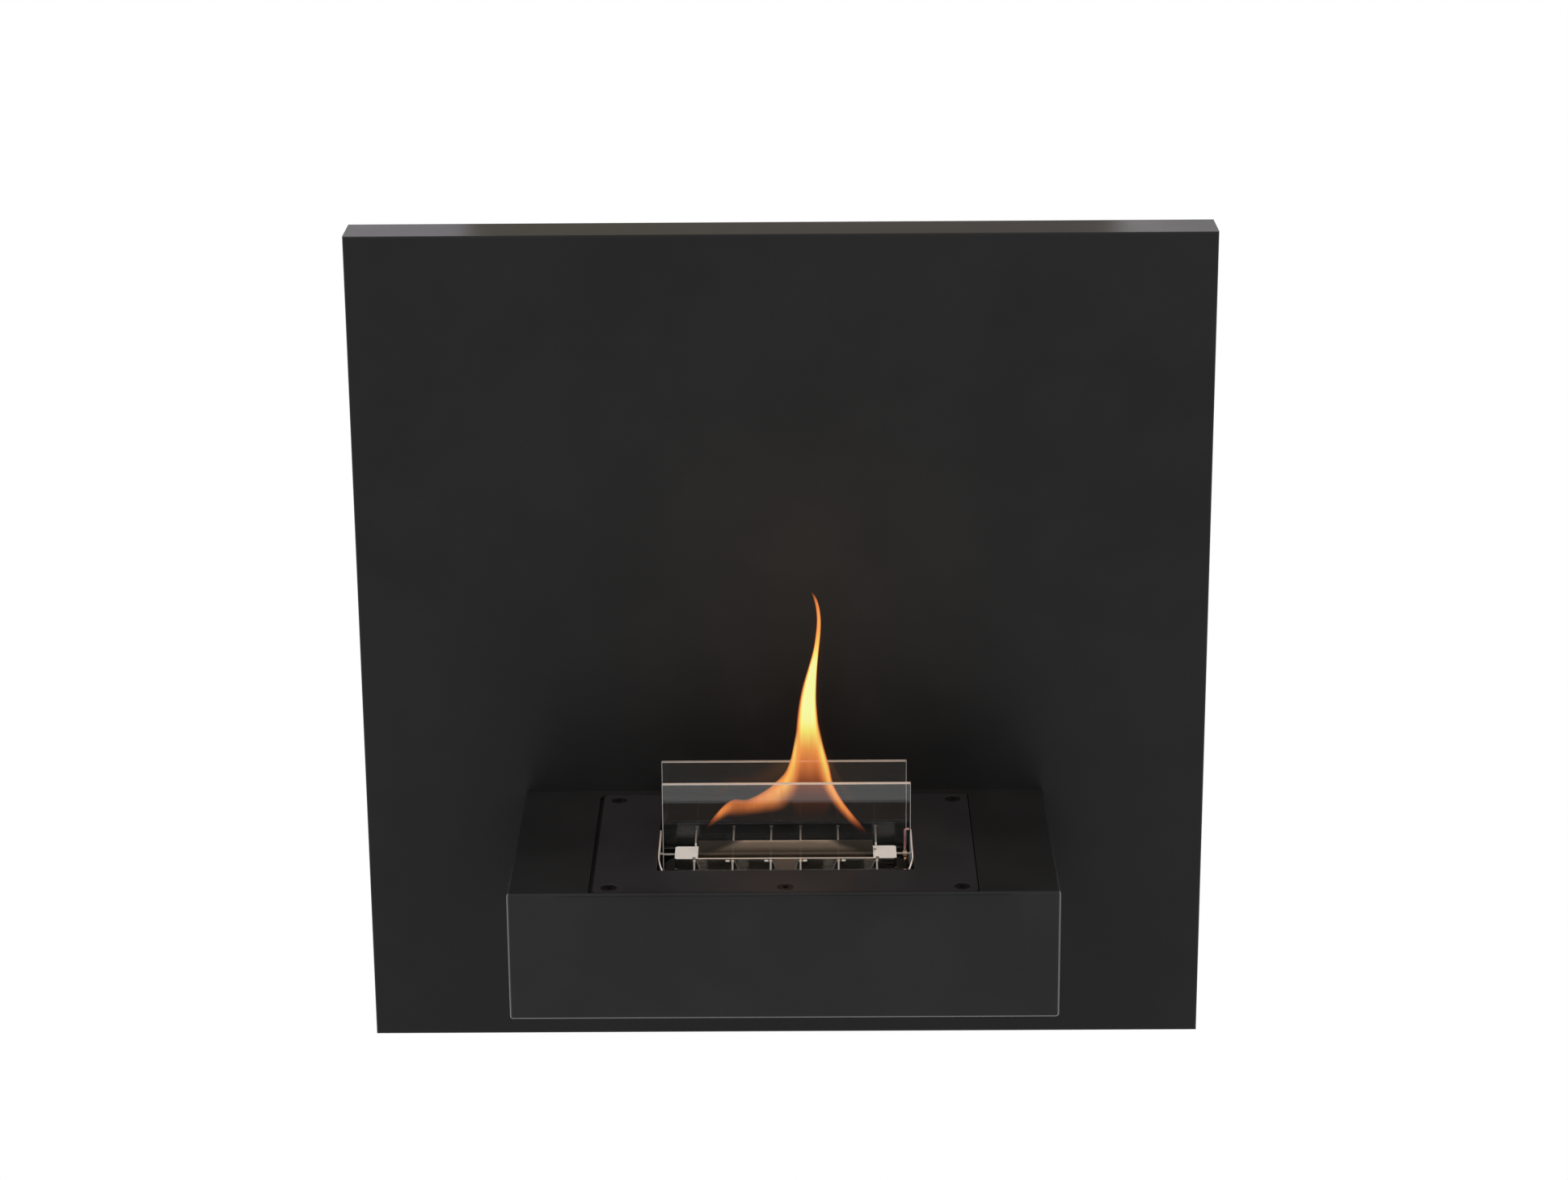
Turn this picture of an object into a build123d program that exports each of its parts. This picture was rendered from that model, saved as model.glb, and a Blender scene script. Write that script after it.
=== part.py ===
"""Wall-hung bioethanol fireplace: a folded steel back panel, a shelf box and a slot burner.

Frame, in millimetres: X to the right, +Y into the wall, +Z up.  The origin lies on the wall,
midway between the two fixing holes of the wall rail.  The viewer stands at -Y.
"""

from build123d import *
import os

# ---------------------------------------------------------------- driving sizes
# Back panel: a shallow, nearly square tray folded from sheet, open towards the wall.
panel_width = 650.0
panel_height = 645.5
panel_depth = 43.0
panel_sheet = 1.5
panel_bend = 2.0            # outside radius of its folds
panel_lip = 14.0            # rear return lip on the sides and the bottom
hook_lip = 26.0             # rear return lip on the top, which hangs on the wall rail
lip_mitre = 1.0             # saw gap where two lips meet

# Wall rail: a Z section with an upstand that the hook lip drops behind.
wall_gap = 3.0              # air between the panel's rear lips and the wall
rail_length = 520.0
rail_sheet = 2.0
rail_bend = 1.8             # radius of its folds, at mid sheet
rail_lower_height = 18.0
rail_upper_height = 22.0
rail_upstand_height = 12.0
rail_reach = 8.0
rail_hole_spacing = 400.0
rail_hole_radius = 3.5
bumper_radius = 6.0
bumper_inset = 25.0         # bumper centre in from the panel's side
bumper_chamfer = 0.6

# Shelf box that carries the burner.
shelf_width = 402.0
shelf_height = 99.0
shelf_depth = 208.0
shelf_bottom_rise = 106.5   # shelf underside above the panel's bottom edge
shelf_sheet = 2.0
shelf_bend = 2.5
shelf_flange = 18.0         # rear flange at the sides and the bottom
shelf_top_flange = 12.0     # rear flange below the top sheet
shelf_rear_strip = 8.5      # strip of top sheet left behind the window
window_gap = 2.0            # air beside the plate in its window, each side on average
window_corner = 5.0

# Bolts between shelf, panel and backing plate.
bolt_radius = 3.0           # M6
bolt_head_flats = 10.0
bolt_head_height = 4.0
bolt_head_chamfer = 0.4
bolt_length = 16.0
bolt_tip_chamfer = 0.6
bolt_hole_radius = 3.3
bolt_edge = 11.0            # bolt axis in from the shelf's side
bolt_rise = 22.0            # bolt axis in from the shelf's top and bottom
nut_height = 5.0
washer_radius = 6.0
washer_sheet = 1.6
thread_gap = 0.1            # drawn radial gap between a thread and its nut
backing_sheet = 2.0
backing_margin = 9.0        # backing plate beyond the bolt axes
backing_corner = 4.5

# Cover plate over the burner, flush with the shelf's top.
module_shift = 1.25         # the plate sits a little to the right in its window
plate_sheet = 3.0
plate_corner = 4.0
plate_seam = 0.5            # seam before and behind the plate
opening_lap_x = 5.0         # the plate reaches this far in over the tray's end walls
opening_lap_y = 7.0         # and over its long walls
opening_corner = 2.5

# Countersunk socket screws of the plate, and the ledge and weld nuts below it.
screw_land = 8.5            # screw axis beyond the end of the ledge's opening
screw_edge = 11.5           # screw axis in from the plate's end
screw_front_edge = 9.75     # and from its front
screw_rear_edge = 11.25     # and from its rear
screw_head_radius = 6.0
screw_head_drop = 0.2
screw_length = 12.0
screw_gap = 0.3             # countersink larger than the head, on radius
socket_flats = 4.0
socket_depth = 1.8
ledge_sheet = 2.0
ledge_lap = 16.0            # ledge beyond the window's end
ledge_tray_gap = 10.0       # air between the ledge's opening and the tray's flange
ledge_front_lap = 17.5      # ledge under the plate's front
ledge_rear_lap = 19.0       # ledge under the plate's rear
ledge_play = 0.2            # air between the ledge and the walls beside it
weld_nut_radius = 5.5
weld_nut_height = 5.5

# Burner: tray, tank with its slot, and the fibre block that holds the fuel.
burner_drop = 6.0           # burner top below the shelf's top
tray_front_gap = 7.4        # air between the ledge's opening and the tray's flange
tray_rear_gap = 16.6
tray_height = 75.0
tray_sheet = 1.2
tray_flange = 10.0
tray_corner = 4.0
tank_end_gap = 8.0          # air between the tank and the tray's end walls
tank_side_gap = 12.0        # air between the tank and the tray's long walls
tank_wall = 1.0
tank_corner = 12.0
tank_edge = 1.2
tank_top_drop = 28.0        # top of the tank's body below the shelf's top
neck_inset = 9.25           # neck's end in from the tank's end
neck_depth = 25.0
neck_wall = 1.5
neck_corner = 2.0
pip_spacing = 28.8
pip_width = 3.2
pip_height = 1.2
pip_proud = 0.6
pip_drop = 1.6              # pip axis below the burner's top
fibre_gap = 0.5
fibre_headroom = 3.0
block_length = 17.25
block_height = 8.0
block_corner = 2.5
block_hole_radius = 0.8
block_hole_inset = 2.6      # from the block's front and from its inner face

# Snuffer: a butterfly flap on an axle across the slot, with a bent lever.
axle_radius = 0.8
axle_chamfer = 0.2
axle_end_gap = 0.2          # axle's ends short of the tray's end walls
axle_drop = 1.3             # axle centre below the burner's top
running_gap = 0.05          # radial clearance of the axle in its bores
flap_end_gap = 0.5          # between the flap's ends and the blocks
flap_sheet = 0.8
flap_gap = 0.3              # between the closed flap and the slot's long walls
flap_sleeve_radius = 1.6
crease_width = 1.0
crease_depth = 0.2
lever_gap = 6.45            # lever wire's axis beyond the neck's end
lever_wire_radius = 0.9
lever_reach = 19.4          # wire's top run above the axle
lever_hook = 3.2            # length of the hook, to its end face
lever_bend = 1.6
lever_tail = 3.0
lever_hub_radius = 2.2
lever_hub_length = 3.0
bead_radius = 1.7

# Glass panes and what carries them.
glass_width = 183.5
glass_height = 69.0
glass_sheet = 4.0
glass_offset = 23.4         # pane centre from the burner's centre line
glass_play = 0.9            # each pane lies this far off centre, front right, rear left
glass_edge = 0.4
glass_seat_gap = 0.15
saddle_wire_radius = 0.7
saddle_drop = 2.0           # straight runs of the saddle wires below the burner's top
saddle_dip = 4.25
saddle_floor = 6.4
saddle_slope = 2.4          # run of the bend down, on the neck's side of the pane
saddle_rise = 6.5           # run of the bend up, on the tray's side
saddle_xs = (-68.0, -39.5, -11.1, 11.1, 39.5, 68.0)
foot_radius = 0.5
foot_bed = 0.25             # depth of the flat that seats a foot on the neck's wall
foot_drop = 1.5             # foot's top below the burner's top
foot_beside = 1.5           # foot's top from its wire, towards the middle
foot_lean = 5.2             # foot's lower end nearer the middle than its top
foot_height = 13.0
bow_sheet = 1.0
bow_height = 5.0
bow_flat = 12.0
bow_front_reach = 38.0      # front tip from the burner's centre line
bow_front_sag = 3.4         # how far the front tip curves in
bow_rear_reach = 41.0
bow_rear_sag = -0.2         # the rear tip curves out
bow_gap = 1.55              # between the bow's flat and the end of the nearer pane
bow_hole_radius = 1.1
bracket_sheet = 1.2
bracket_reach = 3.6         # length of the arms between bracket and bow
bracket_width = 20.0
bracket_height = 26.0
bracket_top_gap = 1.0
bracket_arm = 3.0

# ---------------------------------------------------------------- derived places
panel_rear_y = -wall_gap
panel_front_y = panel_rear_y - panel_depth
panel_top_z = rail_upper_height + hook_lip
panel_bottom_z = panel_top_z - panel_height
panel_mid_z = (panel_top_z + panel_bottom_z) / 2

shelf_front_y = panel_front_y - shelf_depth
shelf_bottom_z = panel_bottom_z + shelf_bottom_rise
shelf_top_z = shelf_bottom_z + shelf_height
shelf_mid_z = (shelf_bottom_z + shelf_top_z) / 2
shelf_wall_y = shelf_front_y + shelf_sheet
shelf_flange_y = panel_front_y - shelf_sheet
window_rear_y = panel_front_y - shelf_rear_strip

bolt_spacing_x = shelf_width - 2 * bolt_edge
bolt_spacing_z = shelf_height - 2 * bolt_rise
backing_front_y = panel_front_y + panel_sheet
backing_rear_y = backing_front_y + backing_sheet
washer_rear_y = backing_rear_y + washer_sheet

# Widths of the burner, from the panes outwards to the ledge, and inwards to the slot.
bow_inner_x = glass_width / 2 + glass_play + bow_gap
bow_outer_x = bow_inner_x + bow_sheet
bracket_x = bow_outer_x + bracket_reach
tray_width = 2 * (bracket_x + bracket_sheet)
tank_width = tray_width - 2 * tank_end_gap
neck_width = tank_width - 2 * neck_inset
slot_width = neck_width - 2 * block_length
lever_x = neck_width / 2 + lever_gap
opening_width = tray_width - 2 * opening_lap_x
ledge_opening_width = tray_width + 2 * (tray_flange + ledge_tray_gap)
screw_spacing_x = ledge_opening_width + 2 * screw_land
plate_width = screw_spacing_x + 2 * screw_edge
window_width = plate_width + 2 * window_gap
ledge_width = window_width + 2 * ledge_lap

# Depths, from the shelf inwards to the tank.
plate_front_y = shelf_wall_y + plate_seam
plate_rear_y = window_rear_y - plate_seam
plate_depth = plate_rear_y - plate_front_y
plate_mid_y = (plate_front_y + plate_rear_y) / 2
screw_front_y = plate_front_y + screw_front_edge
screw_rear_y = plate_rear_y - screw_rear_edge
screw_spacing_y = screw_rear_y - screw_front_y
screw_mid_y = (screw_front_y + screw_rear_y) / 2
ledge_opening_front_y = plate_front_y + ledge_front_lap
ledge_opening_rear_y = plate_rear_y - ledge_rear_lap
tray_front_y = ledge_opening_front_y + tray_front_gap + tray_flange
tray_rear_y = ledge_opening_rear_y - tray_rear_gap - tray_flange
tray_depth = tray_rear_y - tray_front_y
tank_depth = tray_depth - 2 * tank_side_gap
opening_depth = tray_depth - 2 * opening_lap_y
burner_y = (tray_front_y + tray_rear_y) / 2

plate_under_z = shelf_top_z - plate_sheet
burner_z = shelf_top_z - burner_drop
axle_z = burner_z - axle_drop
block_under_z = burner_z - block_height
tray_floor_z = plate_under_z - tray_height
tray_under_z = tray_floor_z - tray_sheet
tank_top_z = shelf_top_z - tank_top_drop
tank_height = tank_top_z - tray_floor_z
slot_depth = neck_depth - 2 * neck_wall
block_mid_x = (neck_width + slot_width) / 4
flap_reach = slot_depth / 2 - flap_gap
flap_width = slot_width - 2 * flap_end_gap
bore_radius = axle_radius + running_gap
saddle_z = burner_z - saddle_drop
saddle_floor_z = saddle_z - saddle_dip
glass_bottom_z = saddle_floor_z + saddle_wire_radius + glass_seat_gap
axle_half_length = tray_width / 2 - axle_end_gap

# Reference planes: each one's local X is the object's X or Y, and its local Y is Z or Y.


def level(z):
    """Horizontal sketch plane at height z, centred on the wall."""
    return Plane.XY.offset(z)


def burner_level(z):
    """Horizontal sketch plane at height z, centred on the burner."""
    return Plane(origin=(module_shift, burner_y, z), x_dir=(1, 0, 0), z_dir=(0, 0, 1))


def upright(y, z=0.0):
    """Vertical sketch plane across the object at depth y, facing the viewer."""
    return Plane(origin=(0, y, z), x_dir=(1, 0, 0), z_dir=(0, -1, 0))


def burner_section(x):
    """Vertical sketch plane along the depth, centred on the snuffer's axle, x off its middle."""
    return Plane(origin=(module_shift + x, burner_y, axle_z), x_dir=(0, 1, 0), z_dir=(1, 0, 0))


def save(part, name):
    """Label a finished piece and write its STEP file."""
    part.label = name
    export_step(part, f"parts/{name}.step")


os.makedirs("parts", exist_ok=True)

# ---------------------------------------------------------------- back panel and wall side
with BuildPart() as front_panel:
    with BuildSketch(upright(panel_front_y, panel_mid_z)):
        Rectangle(panel_width, panel_height)
    extrude(amount=-panel_depth)
    fillet(front_panel.faces().sort_by(Axis.Y)[0].edges(), panel_bend)
    with BuildSketch(upright(panel_front_y + panel_sheet, panel_mid_z)):
        Rectangle(panel_width - 2 * panel_sheet, panel_height - 2 * panel_sheet)
    extrude(amount=-(panel_depth - 2 * panel_sheet), mode=Mode.SUBTRACT)
    lip_window_height = panel_height - hook_lip - panel_lip
    with BuildSketch(upright(panel_rear_y, panel_bottom_z + panel_lip + lip_window_height / 2)):
        Rectangle(panel_width - 2 * panel_lip, lip_window_height)
    extrude(amount=2 * panel_sheet, both=True, mode=Mode.SUBTRACT)
    # The lips are mitred, so a saw gap runs out towards each corner.
    with BuildSketch(upright(panel_rear_y, panel_mid_z)):
        for side in (-1, 1):
            for end, lip in ((-1, panel_lip), (1, hook_lip)):
                with BuildLine():
                    Line((side * (panel_width / 2 - panel_sheet), end * (panel_height / 2 - panel_sheet)),
                         (side * (panel_width / 2 - panel_lip - lip_mitre),
                          end * (panel_height / 2 - lip - lip_mitre)))
                trace(line_width=lip_mitre)
    extrude(amount=panel_sheet, both=True, mode=Mode.SUBTRACT)
    with BuildSketch(upright(panel_front_y, shelf_mid_z)):
        with GridLocations(bolt_spacing_x, bolt_spacing_z, 2, 2):
            Circle(bolt_hole_radius)
    extrude(amount=-2 * panel_sheet, mode=Mode.SUBTRACT)
save(front_panel.part, "front_panel")

with BuildPart() as wall_rail:
    rail_top_z = rail_upper_height + rail_upstand_height
    with BuildSketch(Plane.YZ):
        with BuildLine():
            FilletPolyline(
                (-rail_sheet / 2, -rail_lower_height),
                (-rail_sheet / 2, rail_upper_height - rail_sheet / 2),
                (rail_sheet / 2 - rail_reach, rail_upper_height - rail_sheet / 2),
                (rail_sheet / 2 - rail_reach, rail_top_z),
                radius=rail_bend,
            )
        trace(line_width=rail_sheet)
    extrude(amount=rail_length / 2, both=True)
    with BuildSketch(Plane.XZ):
        with GridLocations(rail_hole_spacing, 1, 2, 1):
            Circle(rail_hole_radius)
    extrude(amount=2 * rail_sheet, both=True, mode=Mode.SUBTRACT)
save(wall_rail.part, "wall_rail")

with BuildPart() as wall_bumpers:
    with BuildSketch(Plane.XZ):
        with Locations((0, panel_bottom_z + panel_lip / 2)):
            with GridLocations(panel_width - 2 * bumper_inset, 1, 2, 1):
                Circle(bumper_radius)
    extrude(amount=wall_gap)
    chamfer(wall_bumpers.faces().sort_by(Axis.Y)[-2:].edges(), bumper_chamfer)
save(wall_bumpers.part, "wall_bumpers")

with BuildPart() as backing_plate:
    with BuildSketch(upright(backing_front_y, shelf_mid_z)):
        RectangleRounded(bolt_spacing_x + 2 * backing_margin, bolt_spacing_z + 2 * backing_margin,
                         backing_corner)
        with GridLocations(bolt_spacing_x, bolt_spacing_z, 2, 2):
            Circle(bolt_hole_radius, mode=Mode.SUBTRACT)
    extrude(amount=-backing_sheet)
save(backing_plate.part, "backing_plate")

# ---------------------------------------------------------------- shelf box and its bolts
with BuildPart() as shelf_box:
    with BuildSketch(upright(shelf_front_y, shelf_mid_z)):
        Rectangle(shelf_width, shelf_height)
    extrude(amount=-shelf_depth)
    shelf_folds = shelf_box.faces().sort_by(Axis.Y)[0].edges() + shelf_box.edges().filter_by(Axis.Y)
    fillet(shelf_folds, shelf_bend)
    with BuildSketch(upright(shelf_wall_y, shelf_mid_z)):
        Rectangle(shelf_width - 2 * shelf_sheet, shelf_height - 2 * shelf_sheet)
    extrude(amount=-(shelf_depth - 2 * shelf_sheet), mode=Mode.SUBTRACT)
    # The rear is open between the flanges that bolt to the panel.
    rear_open_height = shelf_height - shelf_flange - shelf_top_flange
    with BuildSketch(upright(panel_front_y, shelf_bottom_z + shelf_flange + rear_open_height / 2)):
        Rectangle(shelf_width - 2 * shelf_flange, rear_open_height)
    extrude(amount=2 * shelf_sheet, both=True, mode=Mode.SUBTRACT)
    with BuildSketch(upright(panel_front_y, shelf_mid_z)):
        with GridLocations(bolt_spacing_x, bolt_spacing_z, 2, 2):
            Circle(bolt_hole_radius)
    extrude(amount=2 * shelf_sheet, mode=Mode.SUBTRACT)
    # Window in the top for the cover plate.
    window_depth = window_rear_y - shelf_wall_y
    with BuildSketch(level(shelf_top_z)):
        with Locations((0, shelf_wall_y + window_depth / 2)):
            Rectangle(window_width, window_depth)
    extrude(amount=2 * shelf_sheet, both=True, mode=Mode.SUBTRACT)
    window_corners = shelf_box.edges().filter_by(Axis.Z).filter_by(
        lambda e: abs(e.center().Y - window_rear_y) < panel_sheet and e.center().Z > shelf_mid_z
    )
    fillet(window_corners, window_corner)
save(shelf_box.part, "shelf_box")

with BuildPart() as shelf_bolts:
    with BuildSketch(upright(shelf_flange_y, shelf_mid_z)):
        with GridLocations(bolt_spacing_x, bolt_spacing_z, 2, 2):
            RegularPolygon(bolt_head_flats / 2, 6, major_radius=False)
    extrude(amount=bolt_head_height)
    chamfer(shelf_bolts.faces().filter_by(Axis.Y).group_by(Axis.Y)[0].edges(), bolt_head_chamfer)
    with BuildSketch(upright(shelf_flange_y, shelf_mid_z)):
        with GridLocations(bolt_spacing_x, bolt_spacing_z, 2, 2):
            Circle(bolt_radius)
    extrude(amount=-bolt_length)
    chamfer(shelf_bolts.faces().filter_by(Axis.Y).group_by(Axis.Y)[-1].edges(), bolt_tip_chamfer)
save(shelf_bolts.part, "shelf_bolts")

with BuildPart() as shelf_washers:
    with BuildSketch(upright(backing_rear_y, shelf_mid_z)):
        with GridLocations(bolt_spacing_x, bolt_spacing_z, 2, 2):
            Circle(washer_radius)
            Circle(bolt_hole_radius, mode=Mode.SUBTRACT)
    extrude(amount=-washer_sheet)
save(shelf_washers.part, "shelf_washers")

with BuildPart() as shelf_nuts:
    with BuildSketch(upright(washer_rear_y, shelf_mid_z)):
        with GridLocations(bolt_spacing_x, bolt_spacing_z, 2, 2):
            RegularPolygon(bolt_head_flats / 2, 6, major_radius=False)
            Circle(bolt_radius + thread_gap, mode=Mode.SUBTRACT)
    extrude(amount=-nut_height)
save(shelf_nuts.part, "shelf_nuts")

# ---------------------------------------------------------------- ledge, cover plate and screws
with BuildPart() as ledge_frame:
    ledge_front_y = shelf_wall_y + ledge_play
    ledge_rear_y = shelf_flange_y - ledge_play
    with BuildSketch(level(plate_under_z - ledge_sheet)):
        with Locations((0, ledge_front_y)):
            Rectangle(window_width + 2 * ledge_sheet, window_rear_y + ledge_sheet - ledge_front_y,
                      align=(Align.CENTER, Align.MIN))
        with Locations((0, ledge_opening_front_y)):
            Rectangle(ledge_opening_width, ledge_opening_rear_y - ledge_opening_front_y,
                      align=(Align.CENTER, Align.MIN), mode=Mode.SUBTRACT)
    extrude(amount=ledge_sheet)
    # Joggled outer flange, up against the underside of the shelf's top sheet.
    with BuildSketch(level(shelf_top_z - 2 * shelf_sheet)):
        with Locations((0, ledge_front_y)):
            Rectangle(ledge_width, ledge_rear_y - ledge_front_y, align=(Align.CENTER, Align.MIN))
            Rectangle(window_width + ledge_sheet, window_rear_y + ledge_sheet / 2 - ledge_front_y,
                      align=(Align.CENTER, Align.MIN), mode=Mode.SUBTRACT)
    extrude(amount=shelf_sheet)
    with BuildSketch(level(plate_under_z)):
        with Locations((module_shift, screw_mid_y)):
            with GridLocations(screw_spacing_x / 2, screw_spacing_y, 3, 2):
                Circle(bolt_hole_radius)
    extrude(amount=-2 * ledge_sheet, mode=Mode.SUBTRACT)
save(ledge_frame.part, "ledge_frame")

with BuildPart() as weld_nuts:
    with BuildSketch(level(plate_under_z - ledge_sheet)):
        with Locations((module_shift, screw_mid_y)):
            with GridLocations(screw_spacing_x / 2, screw_spacing_y, 3, 2):
                Circle(weld_nut_radius)
                Circle(bolt_radius + thread_gap, mode=Mode.SUBTRACT)
    extrude(amount=-weld_nut_height)
save(weld_nuts.part, "weld_nuts")

with BuildPart() as cover_plate:
    with BuildSketch(level(plate_under_z)):
        with Locations((module_shift, plate_mid_y)):
            RectangleRounded(plate_width, plate_depth, plate_corner)
        with Locations((module_shift, burner_y)):
            RectangleRounded(opening_width, opening_depth, opening_corner, mode=Mode.SUBTRACT)
    extrude(amount=plate_sheet)
    with Locations(level(shelf_top_z)):
        with Locations((module_shift, screw_mid_y)):
            with GridLocations(screw_spacing_x / 2, screw_spacing_y, 3, 2):
                CounterSinkHole(bolt_hole_radius, screw_head_radius + screw_gap, counter_sink_angle=90)
save(cover_plate.part, "cover_plate")

with BuildPart() as cover_screws:
    screw_top_z = shelf_top_z - screw_head_drop
    head_height = screw_head_radius - bolt_radius
    with Locations((module_shift, screw_mid_y, screw_top_z)):
        with GridLocations(screw_spacing_x / 2, screw_spacing_y, 3, 2):
            Cone(bolt_radius, screw_head_radius, head_height, align=(Align.CENTER, Align.CENTER, Align.MAX))
    with BuildSketch(level(screw_top_z - head_height)):
        with Locations((module_shift, screw_mid_y)):
            with GridLocations(screw_spacing_x / 2, screw_spacing_y, 3, 2):
                Circle(bolt_radius)
    extrude(amount=head_height - screw_length)
    with BuildSketch(level(screw_top_z)):
        with Locations((module_shift, screw_mid_y)):
            with GridLocations(screw_spacing_x / 2, screw_spacing_y, 3, 2):
                RegularPolygon(socket_flats / 2, 6, major_radius=False)
    extrude(amount=-socket_depth, mode=Mode.SUBTRACT)
save(cover_screws.part, "cover_screws")

# ---------------------------------------------------------------- burner tray and tank
with BuildPart() as burner_tray:
    with BuildSketch(burner_level(tray_under_z)):
        RectangleRounded(tray_width + 2 * tray_sheet, tray_depth + 2 * tray_sheet, tray_corner)
    extrude(amount=plate_under_z - tray_under_z)
    with BuildSketch(burner_level(plate_under_z)):
        RectangleRounded(tray_width + 2 * tray_flange, tray_depth + 2 * tray_flange, tray_corner)
    extrude(amount=-tray_sheet)
    with BuildSketch(burner_level(tray_floor_z)):
        RectangleRounded(tray_width, tray_depth, tray_corner - tray_sheet)
    extrude(amount=tray_height, mode=Mode.SUBTRACT)
save(burner_tray.part, "burner_tray")

with BuildPart() as fuel_tank:
    with BuildSketch(burner_level(tray_floor_z)):
        RectangleRounded(tank_width, tank_depth, tank_corner)
    extrude(amount=tank_height)
    chamfer(fuel_tank.faces().filter_by(Axis.Z).edges(), tank_edge)
    with BuildSketch(burner_level(tray_floor_z + tank_wall)):
        RectangleRounded(tank_width - 2 * tank_wall, tank_depth - 2 * tank_wall, tank_corner - tank_wall)
    extrude(amount=tank_height - 2 * tank_wall, mode=Mode.SUBTRACT)
    with BuildSketch(burner_level(tank_top_z)):
        Rectangle(neck_width - 2 * neck_wall, slot_depth)
    extrude(amount=-2 * tank_wall, mode=Mode.SUBTRACT)
save(fuel_tank.part, "fuel_tank")

with BuildPart() as slot_neck:
    with BuildSketch(burner_level(tank_top_z)):
        RectangleRounded(neck_width, neck_depth, neck_corner)
        Rectangle(neck_width - 2 * neck_wall, slot_depth, mode=Mode.SUBTRACT)
    extrude(amount=burner_z - tank_top_z)
    # The neck's ends are cut down to seat the bearing blocks.
    with BuildSketch(burner_level(burner_z)):
        with GridLocations(2 * block_mid_x, 1, 2, 1):
            Rectangle(block_length, 2 * neck_depth)
    extrude(amount=-block_height, mode=Mode.SUBTRACT)
    # Pressed pips under the rim, front and rear.
    for face in (-1, 1):
        with BuildSketch(Plane(origin=(module_shift, burner_y + face * neck_depth / 2, burner_z - pip_drop),
                               x_dir=(1, 0, 0), z_dir=(0, face, 0))):
            with GridLocations(pip_spacing, 1, 4, 1):
                SlotOverall(pip_width, pip_height)
        extrude(amount=pip_proud)
save(slot_neck.part, "slot_neck")

with BuildPart() as fibre_block:
    fibre_width = tank_width - 2 * tank_wall - 2 * fibre_gap
    fibre_depth = tank_depth - 2 * tank_wall - 2 * fibre_gap
    with BuildSketch(burner_level(tray_floor_z + tank_wall)):
        RectangleRounded(fibre_width, fibre_depth, tank_corner - tank_wall)
    extrude(amount=tank_height - 2 * tank_wall - fibre_headroom)
save(fibre_block.part, "fibre_block")

for side, name in ((-1, "left"), (1, "right")):
    with BuildPart() as end_block:
        with BuildSketch(burner_level(block_under_z)):
            with Locations((side * block_mid_x, 0)):
                Rectangle(block_length, neck_depth)
        extrude(amount=block_height)
        outer_edges = end_block.edges().filter_by(Axis.Z).sort_by(Axis.X)
        fillet(outer_edges[-2:] if side > 0 else outer_edges[:2], block_corner)
        with BuildSketch(burner_level(burner_z)):
            with Locations((side * (slot_width / 2 + block_hole_inset), block_hole_inset - neck_depth / 2)):
                Circle(block_hole_radius)
        extrude(amount=-block_height, mode=Mode.SUBTRACT)
        with BuildSketch(burner_section(0)):
            Circle(bore_radius)
        extrude(amount=side * neck_width, mode=Mode.SUBTRACT)
    save(end_block.part, f"end_block_{name}")

# ---------------------------------------------------------------- snuffer: flap, axle, lever
with BuildPart() as snuffer_flap:
    with BuildSketch(burner_section(0)):
        Rectangle(flap_sheet, 2 * flap_reach)
        Circle(flap_sleeve_radius)
        Circle(bore_radius, mode=Mode.SUBTRACT)
    extrude(amount=flap_width / 2, both=True)
    # Fine pressed creases across the flap, in line with the saddle wires.
    for x in saddle_xs[1:-1]:
        for face in (-1, 1):
            with BuildSketch(Plane(origin=(module_shift + x, burner_y + face * flap_sheet / 2, axle_z),
                                   x_dir=(1, 0, 0), z_dir=(0, face, 0))):
                for half in (-1, 1):
                    with Locations((0, half * (flap_reach + flap_sleeve_radius) / 2)):
                        Rectangle(crease_width, flap_reach - flap_sleeve_radius)
            extrude(amount=-crease_depth, mode=Mode.SUBTRACT)
save(snuffer_flap.part, "snuffer_flap")

with BuildPart() as snuffer_axle:
    with BuildSketch(burner_section(0)):
        Circle(axle_radius)
    extrude(amount=axle_half_length, both=True)
    chamfer(snuffer_axle.edges(), axle_chamfer)
save(snuffer_axle.part, "snuffer_axle")

# The lever is one bent wire on a hub: a tail below, a tall run above and a hook to the right.
lever_plane = Plane(origin=(module_shift + lever_x, burner_y, axle_z), x_dir=(1, 0, 0), z_dir=(0, -1, 0))
with BuildPart() as snuffer_lever:
    with BuildLine(lever_plane) as lever_path:
        FilletPolyline((0, flap_sleeve_radius), (0, lever_reach), (lever_hook, lever_reach),
                       radius=lever_bend)
    with BuildSketch(Plane(lever_path.line @ 0, z_dir=lever_path.line % 0)):
        Circle(lever_wire_radius)
    sweep()
    with BuildSketch(burner_level(axle_z - lever_tail)):
        with Locations((lever_x, 0)):
            Circle(lever_wire_radius)
    extrude(amount=lever_tail - flap_sleeve_radius)
    with BuildSketch(burner_section(lever_x)):
        Circle(lever_hub_radius)
    extrude(amount=lever_hub_length / 2, both=True)
    with BuildSketch(burner_section(lever_x)):
        Circle(bore_radius)
    extrude(amount=lever_hub_length, both=True, mode=Mode.SUBTRACT)
save(snuffer_lever.part, "snuffer_lever")

with BuildPart() as lever_bead:
    bead_seat = (bead_radius ** 2 - lever_wire_radius ** 2) ** 0.5
    with Locations((module_shift + lever_x, burner_y, axle_z - lever_tail - bead_seat)):
        Sphere(bead_radius)
    split(bisect_by=level(axle_z - lever_tail), keep=Keep.BOTTOM)
save(lever_bead.part, "lever_bead")

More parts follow.
